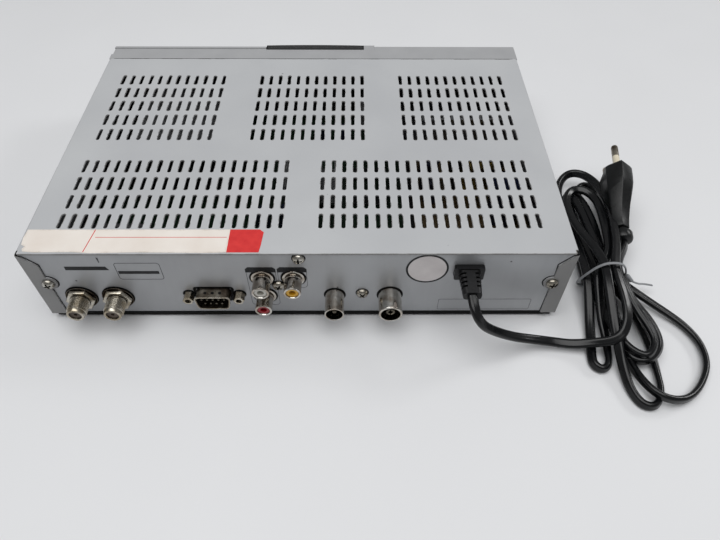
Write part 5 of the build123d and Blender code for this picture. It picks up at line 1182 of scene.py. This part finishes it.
def make_window():
    """The smoked window, bowed in front, its dark rim on top, and the fascia's cheek beside it."""
    top = CASE_HEIGHT
    half = (WINDOW_RIGHT - WINDOW_LEFT) / 2
    middle = (WINDOW_RIGHT + WINDOW_LEFT) / 2
    bow = []
    for i in range(BOW_STEPS + 1):
        share = 2 * i / BOW_STEPS - 1
        bow.append((middle + half * share, FASCIA_FRONT - WINDOW_BOW * (1 - share ** 2)))
    bow += [(WINDOW_RIGHT, FASCIA_FRONT + 2.0), (WINDOW_LEFT, FASCIA_FRONT + 2.0)]
    face = slab(bow, WINDOW_BASE, top)
    over = box(
        WINDOW_LEFT, WINDOW_RIGHT, FASCIA_FRONT + 1.0, RETURN_BACK, top - 2.0, top - 0.02)
    new_piece("smoked_window", [face, over], DARK_LENS, ("display_lens",))
    rim_front = RETURN_BACK - WINDOW_RIM
    rim_start = FASCIA_FRONT + 0.1
    tall = (top - 0.1, top + 0.03)
    rims = [
        box(WINDOW_LEFT, WINDOW_RIGHT, rim_front, RETURN_BACK, *tall),
        box(WINDOW_LEFT, WINDOW_LEFT + WINDOW_RIM, rim_start, rim_front, *tall),
        box(WINDOW_RIGHT - WINDOW_RIM, WINDOW_RIGHT, rim_start, rim_front, *tall),
    ]
    new_piece("window_rim", rims, SHADOW_GAP)
    cheek_right = WINDOW_LEFT - 0.05
    cheek_back = FASCIA_FRONT + 2.1
    sheet = (top - 2.0, top - 0.01)
    cheek = [
        box(OPENING_LEFT, cheek_right, FASCIA_FRONT, cheek_back, WINDOW_BASE - 0.1, top - 0.01),
        box(OPENING_LEFT, cheek_right, cheek_back, OPENING_BACK, *sheet),
        box(cheek_right, WINDOW_RIGHT, RETURN_BACK + 0.05, OPENING_BACK, *sheet),
    ]
    new_piece("fascia_window_cheek", cheek, FASCIA_SILVER)


def make_seams():
    """Thin dark joints, cover to fascia and door to fascia, and a painted shadow strip under the
    rear edge.
    """
    tall = (CASE_HEIGHT - 0.1, CASE_HEIGHT + 0.02)
    shadow_strip_half = HALF_WIDTH - 2.0
    seams = [
        box(-127.0, 127.0, COVER_FRONT - 0.4, COVER_FRONT, *tall),
        box(WINDOW_RIGHT + 0.6, 129.4, -94.4, -94.1, *tall),
        # Painted shadow: a dark strip under the rear edge, where the case shades the table.
        box(-shadow_strip_half, shadow_strip_half, REAR - 1.5, REAR - 0.3, FOOT_HEIGHT - 2.7, FOOT_HEIGHT),
    ]
    new_piece("case_seams_and_shadow_strip", seams, SHADOW_GAP)


make_window()
make_seams()


# ================ printed marks and stickers
MARK = 0.05  # thickness of a print on the panel
STRIP_FRONT = 68.8
STRIP_LEFT = 33.0
STRIP_THICK = 0.1


def header(x0, x1, z0, z1, cut):
    """A bar with its two upper corners cut."""
    return [(x0, z0), (x1, z0), (x1, z1 - cut), (x1 - cut, z1), (x0 + cut, z1), (x0, z1 - cut)]


def make_panel_print():
    """Blank frames and bars round the sockets."""
    y = (REAR, REAR + MARK)
    bars = (
        header(11.7, 26.2, 35.9, 39.7, 1.4),
        header(-3.1, 11.1, 35.9, 39.7, 1.4),
        [(90.3, 37.7), (91.6, 40.3), (110.9, 40.3), (110.9, 37.7)],
        rectangle(67.2, 86.5, 34.9, 37.0),
    )
    new_piece("panel_bars_print", [prism(bar, *y) for bar in bars], MARK_BLACK)
    frames = (
        (rounded_rectangle(11.8, 26.0, 10.0, 38.0, 2.4), 0.22),
        (rounded_rectangle(-3.0, 11.0, 24.0, 38.0, 2.4), 0.22),
        (rounded_rectangle(65.7, 87.2, 30.7, 42.9, 1.6), 0.3),
        (rounded_rectangle(-115.6, -68.4, 6.0, 14.6, 0.8), 0.2),
    )
    fine = [ring_prism(outline, width, *y) for outline, width in frames]
    fine.append(prism([(93.2, 43.2), (93.7, 43.2), (93.9, 46.8), (93.0, 46.6)], *y))
    new_piece("panel_frames_print", fine, MARK_GREY)


def make_round_label():
    """A plain white label with a dark rim."""
    disc = prism(circle(-60.5, 38.3, 9.6, 48), REAR, REAR + 0.08)
    rim = ring_prism(circle(-60.5, 38.3, 10.2, 48), 1.0, REAR, REAR + 0.1)
    new_piece("round_label", [disc], LABEL_WHITE)
    new_piece("round_label_rim", [rim], MARK_BLACK)


def make_lid_sticker():
    """A cream strip along the rear edge of the cover, rubbed at one corner, with a red end."""
    top = CASE_HEIGHT
    strip = [
        (128.6, STRIP_FRONT), (STRIP_LEFT, STRIP_FRONT), (STRIP_LEFT, 83.3), (44.0, 83.6),
        (75.0, 83.2), (96.0, 83.7), (104.0, 83.0), (121.0, 83.2), (126.5, 82.6), (127.2, 81.0),
        (126.4, 79.6), (128.4, 78.4), (129.0, 74.0),
    ]
    new_piece("cream_sticker", [slab(strip, top, top + STRIP_THICK)], STICKER)
    red = [
        (STRIP_LEFT, STRIP_FRONT), (19.0, STRIP_FRONT), (17.0, 70.6), (17.6, 79.0), (18.2, 83.3),
        (STRIP_LEFT, 83.3),
    ]
    end = slab(red, top, top + STRIP_THICK + 0.01)
    new_piece("red_sticker_end", [end], MARK_RED)
    straight = rectangle(34.0, 95.5, 73.7, 74.0)
    slanting = [(96.5, 68.9), (96.9, 68.9), (98.9, 83.0), (98.5, 83.0)]
    over = (top + STRIP_THICK, top + STRIP_THICK + 0.03)
    rules = [slab(rule, *over) for rule in (straight, slanting)]
    new_piece("sticker_rules", rules, MARK_RED)


make_panel_print()
make_round_label()
make_lid_sticker()


# ================ floor, lights and camera
FLOOR_HALF = 4.0  # metres, as all lengths of this part
WORLD_STRENGTH = 0.26
CASE_MIDDLE = Vector((0.0, 0.0, 0.02))
CAMERA_PLACE = Vector((-0.026152, 0.263712, 0.253637))
CAMERA_RIGHT = Vector((-0.9999645, 0.0061937, 0.0057129))
CAMERA_FORWARD = Vector((-0.0083544, -0.6405294, -0.7678882))
CAMERA_LENS = 29.568  # focal length and sensor width in millimetres
CAMERA_SENSOR = 36.0


def make_floor():
    """A plain pale table."""
    made = Finish("pale_table")
    colour = made.mixed(made.noise(3.0, 2.0), (218, 219, 221), (222, 223, 225))
    material = made.done(colour, made.noise(20.0), (0.5, 0.6))
    mesh = bpy.data.meshes.new("floor")
    corners = rectangle(-FLOOR_HALF, FLOOR_HALF, -FLOOR_HALF, FLOOR_HALF)
    mesh.from_pydata([(x, y, 0.0) for x, y in corners], [], [(0, 1, 2, 3)])
    mesh.materials.append(material)
    in_scene("floor", mesh)


def make_world(strength):
    """White where the camera sees it, and a weaker even light on the object."""
    world = bpy.data.worlds.new("studio")
    world.use_nodes = True
    nodes = Nodes(world.node_tree)
    background = nodes.tree.nodes["Background"].inputs
    background["Color"].default_value = (1.0, 1.0, 1.0, 1.0)
    rays = nodes.tree.nodes.new("ShaderNodeLightPath").outputs
    seen = nodes.math("MAXIMUM", rays["Is Camera Ray"], rays["Is Transmission Ray"])
    nodes.link(background["Strength"], nodes.span(seen, 0.0, 1.0, strength, 1.0))
    bpy.context.scene.world = world


def make_lamp(name, place, size, watts):
    """A rectangular lamp that is turned to the middle of the case."""
    data = bpy.data.lights.new(name, "AREA")
    data.shape = "RECTANGLE"
    data.size, data.size_y = size
    data.energy = watts
    lamp = in_scene(name, data)
    lamp.location = place
    lamp.rotation_euler = (CASE_MIDDLE - Vector(place)).to_track_quat("-Z", "Y").to_euler()


def make_camera():
    """Above and behind the case, looking down at its connectors."""
    data = bpy.data.cameras.new("camera")
    data.lens = CAMERA_LENS
    data.sensor_width = CAMERA_SENSOR
    data.clip_start = 0.01
    data.clip_end = 20.0
    camera = in_scene("camera", data)
    axes = Matrix((CAMERA_RIGHT, CAMERA_RIGHT.cross(CAMERA_FORWARD), -CAMERA_FORWARD))
    camera.matrix_world = Matrix.Translation(CAMERA_PLACE) @ axes.transposed().to_4x4()
    bpy.context.scene.camera = camera


make_floor()
make_world(WORLD_STRENGTH)
make_lamp("ceiling", (0.1, 0.25, 1.5), (1.8, 1.2), 20.0)
make_lamp("side_window", (-1.3, -0.5, 0.9), (0.5, 0.3), 4.5)
make_camera()
bpy.context.scene.view_settings.view_transform = "Standard"
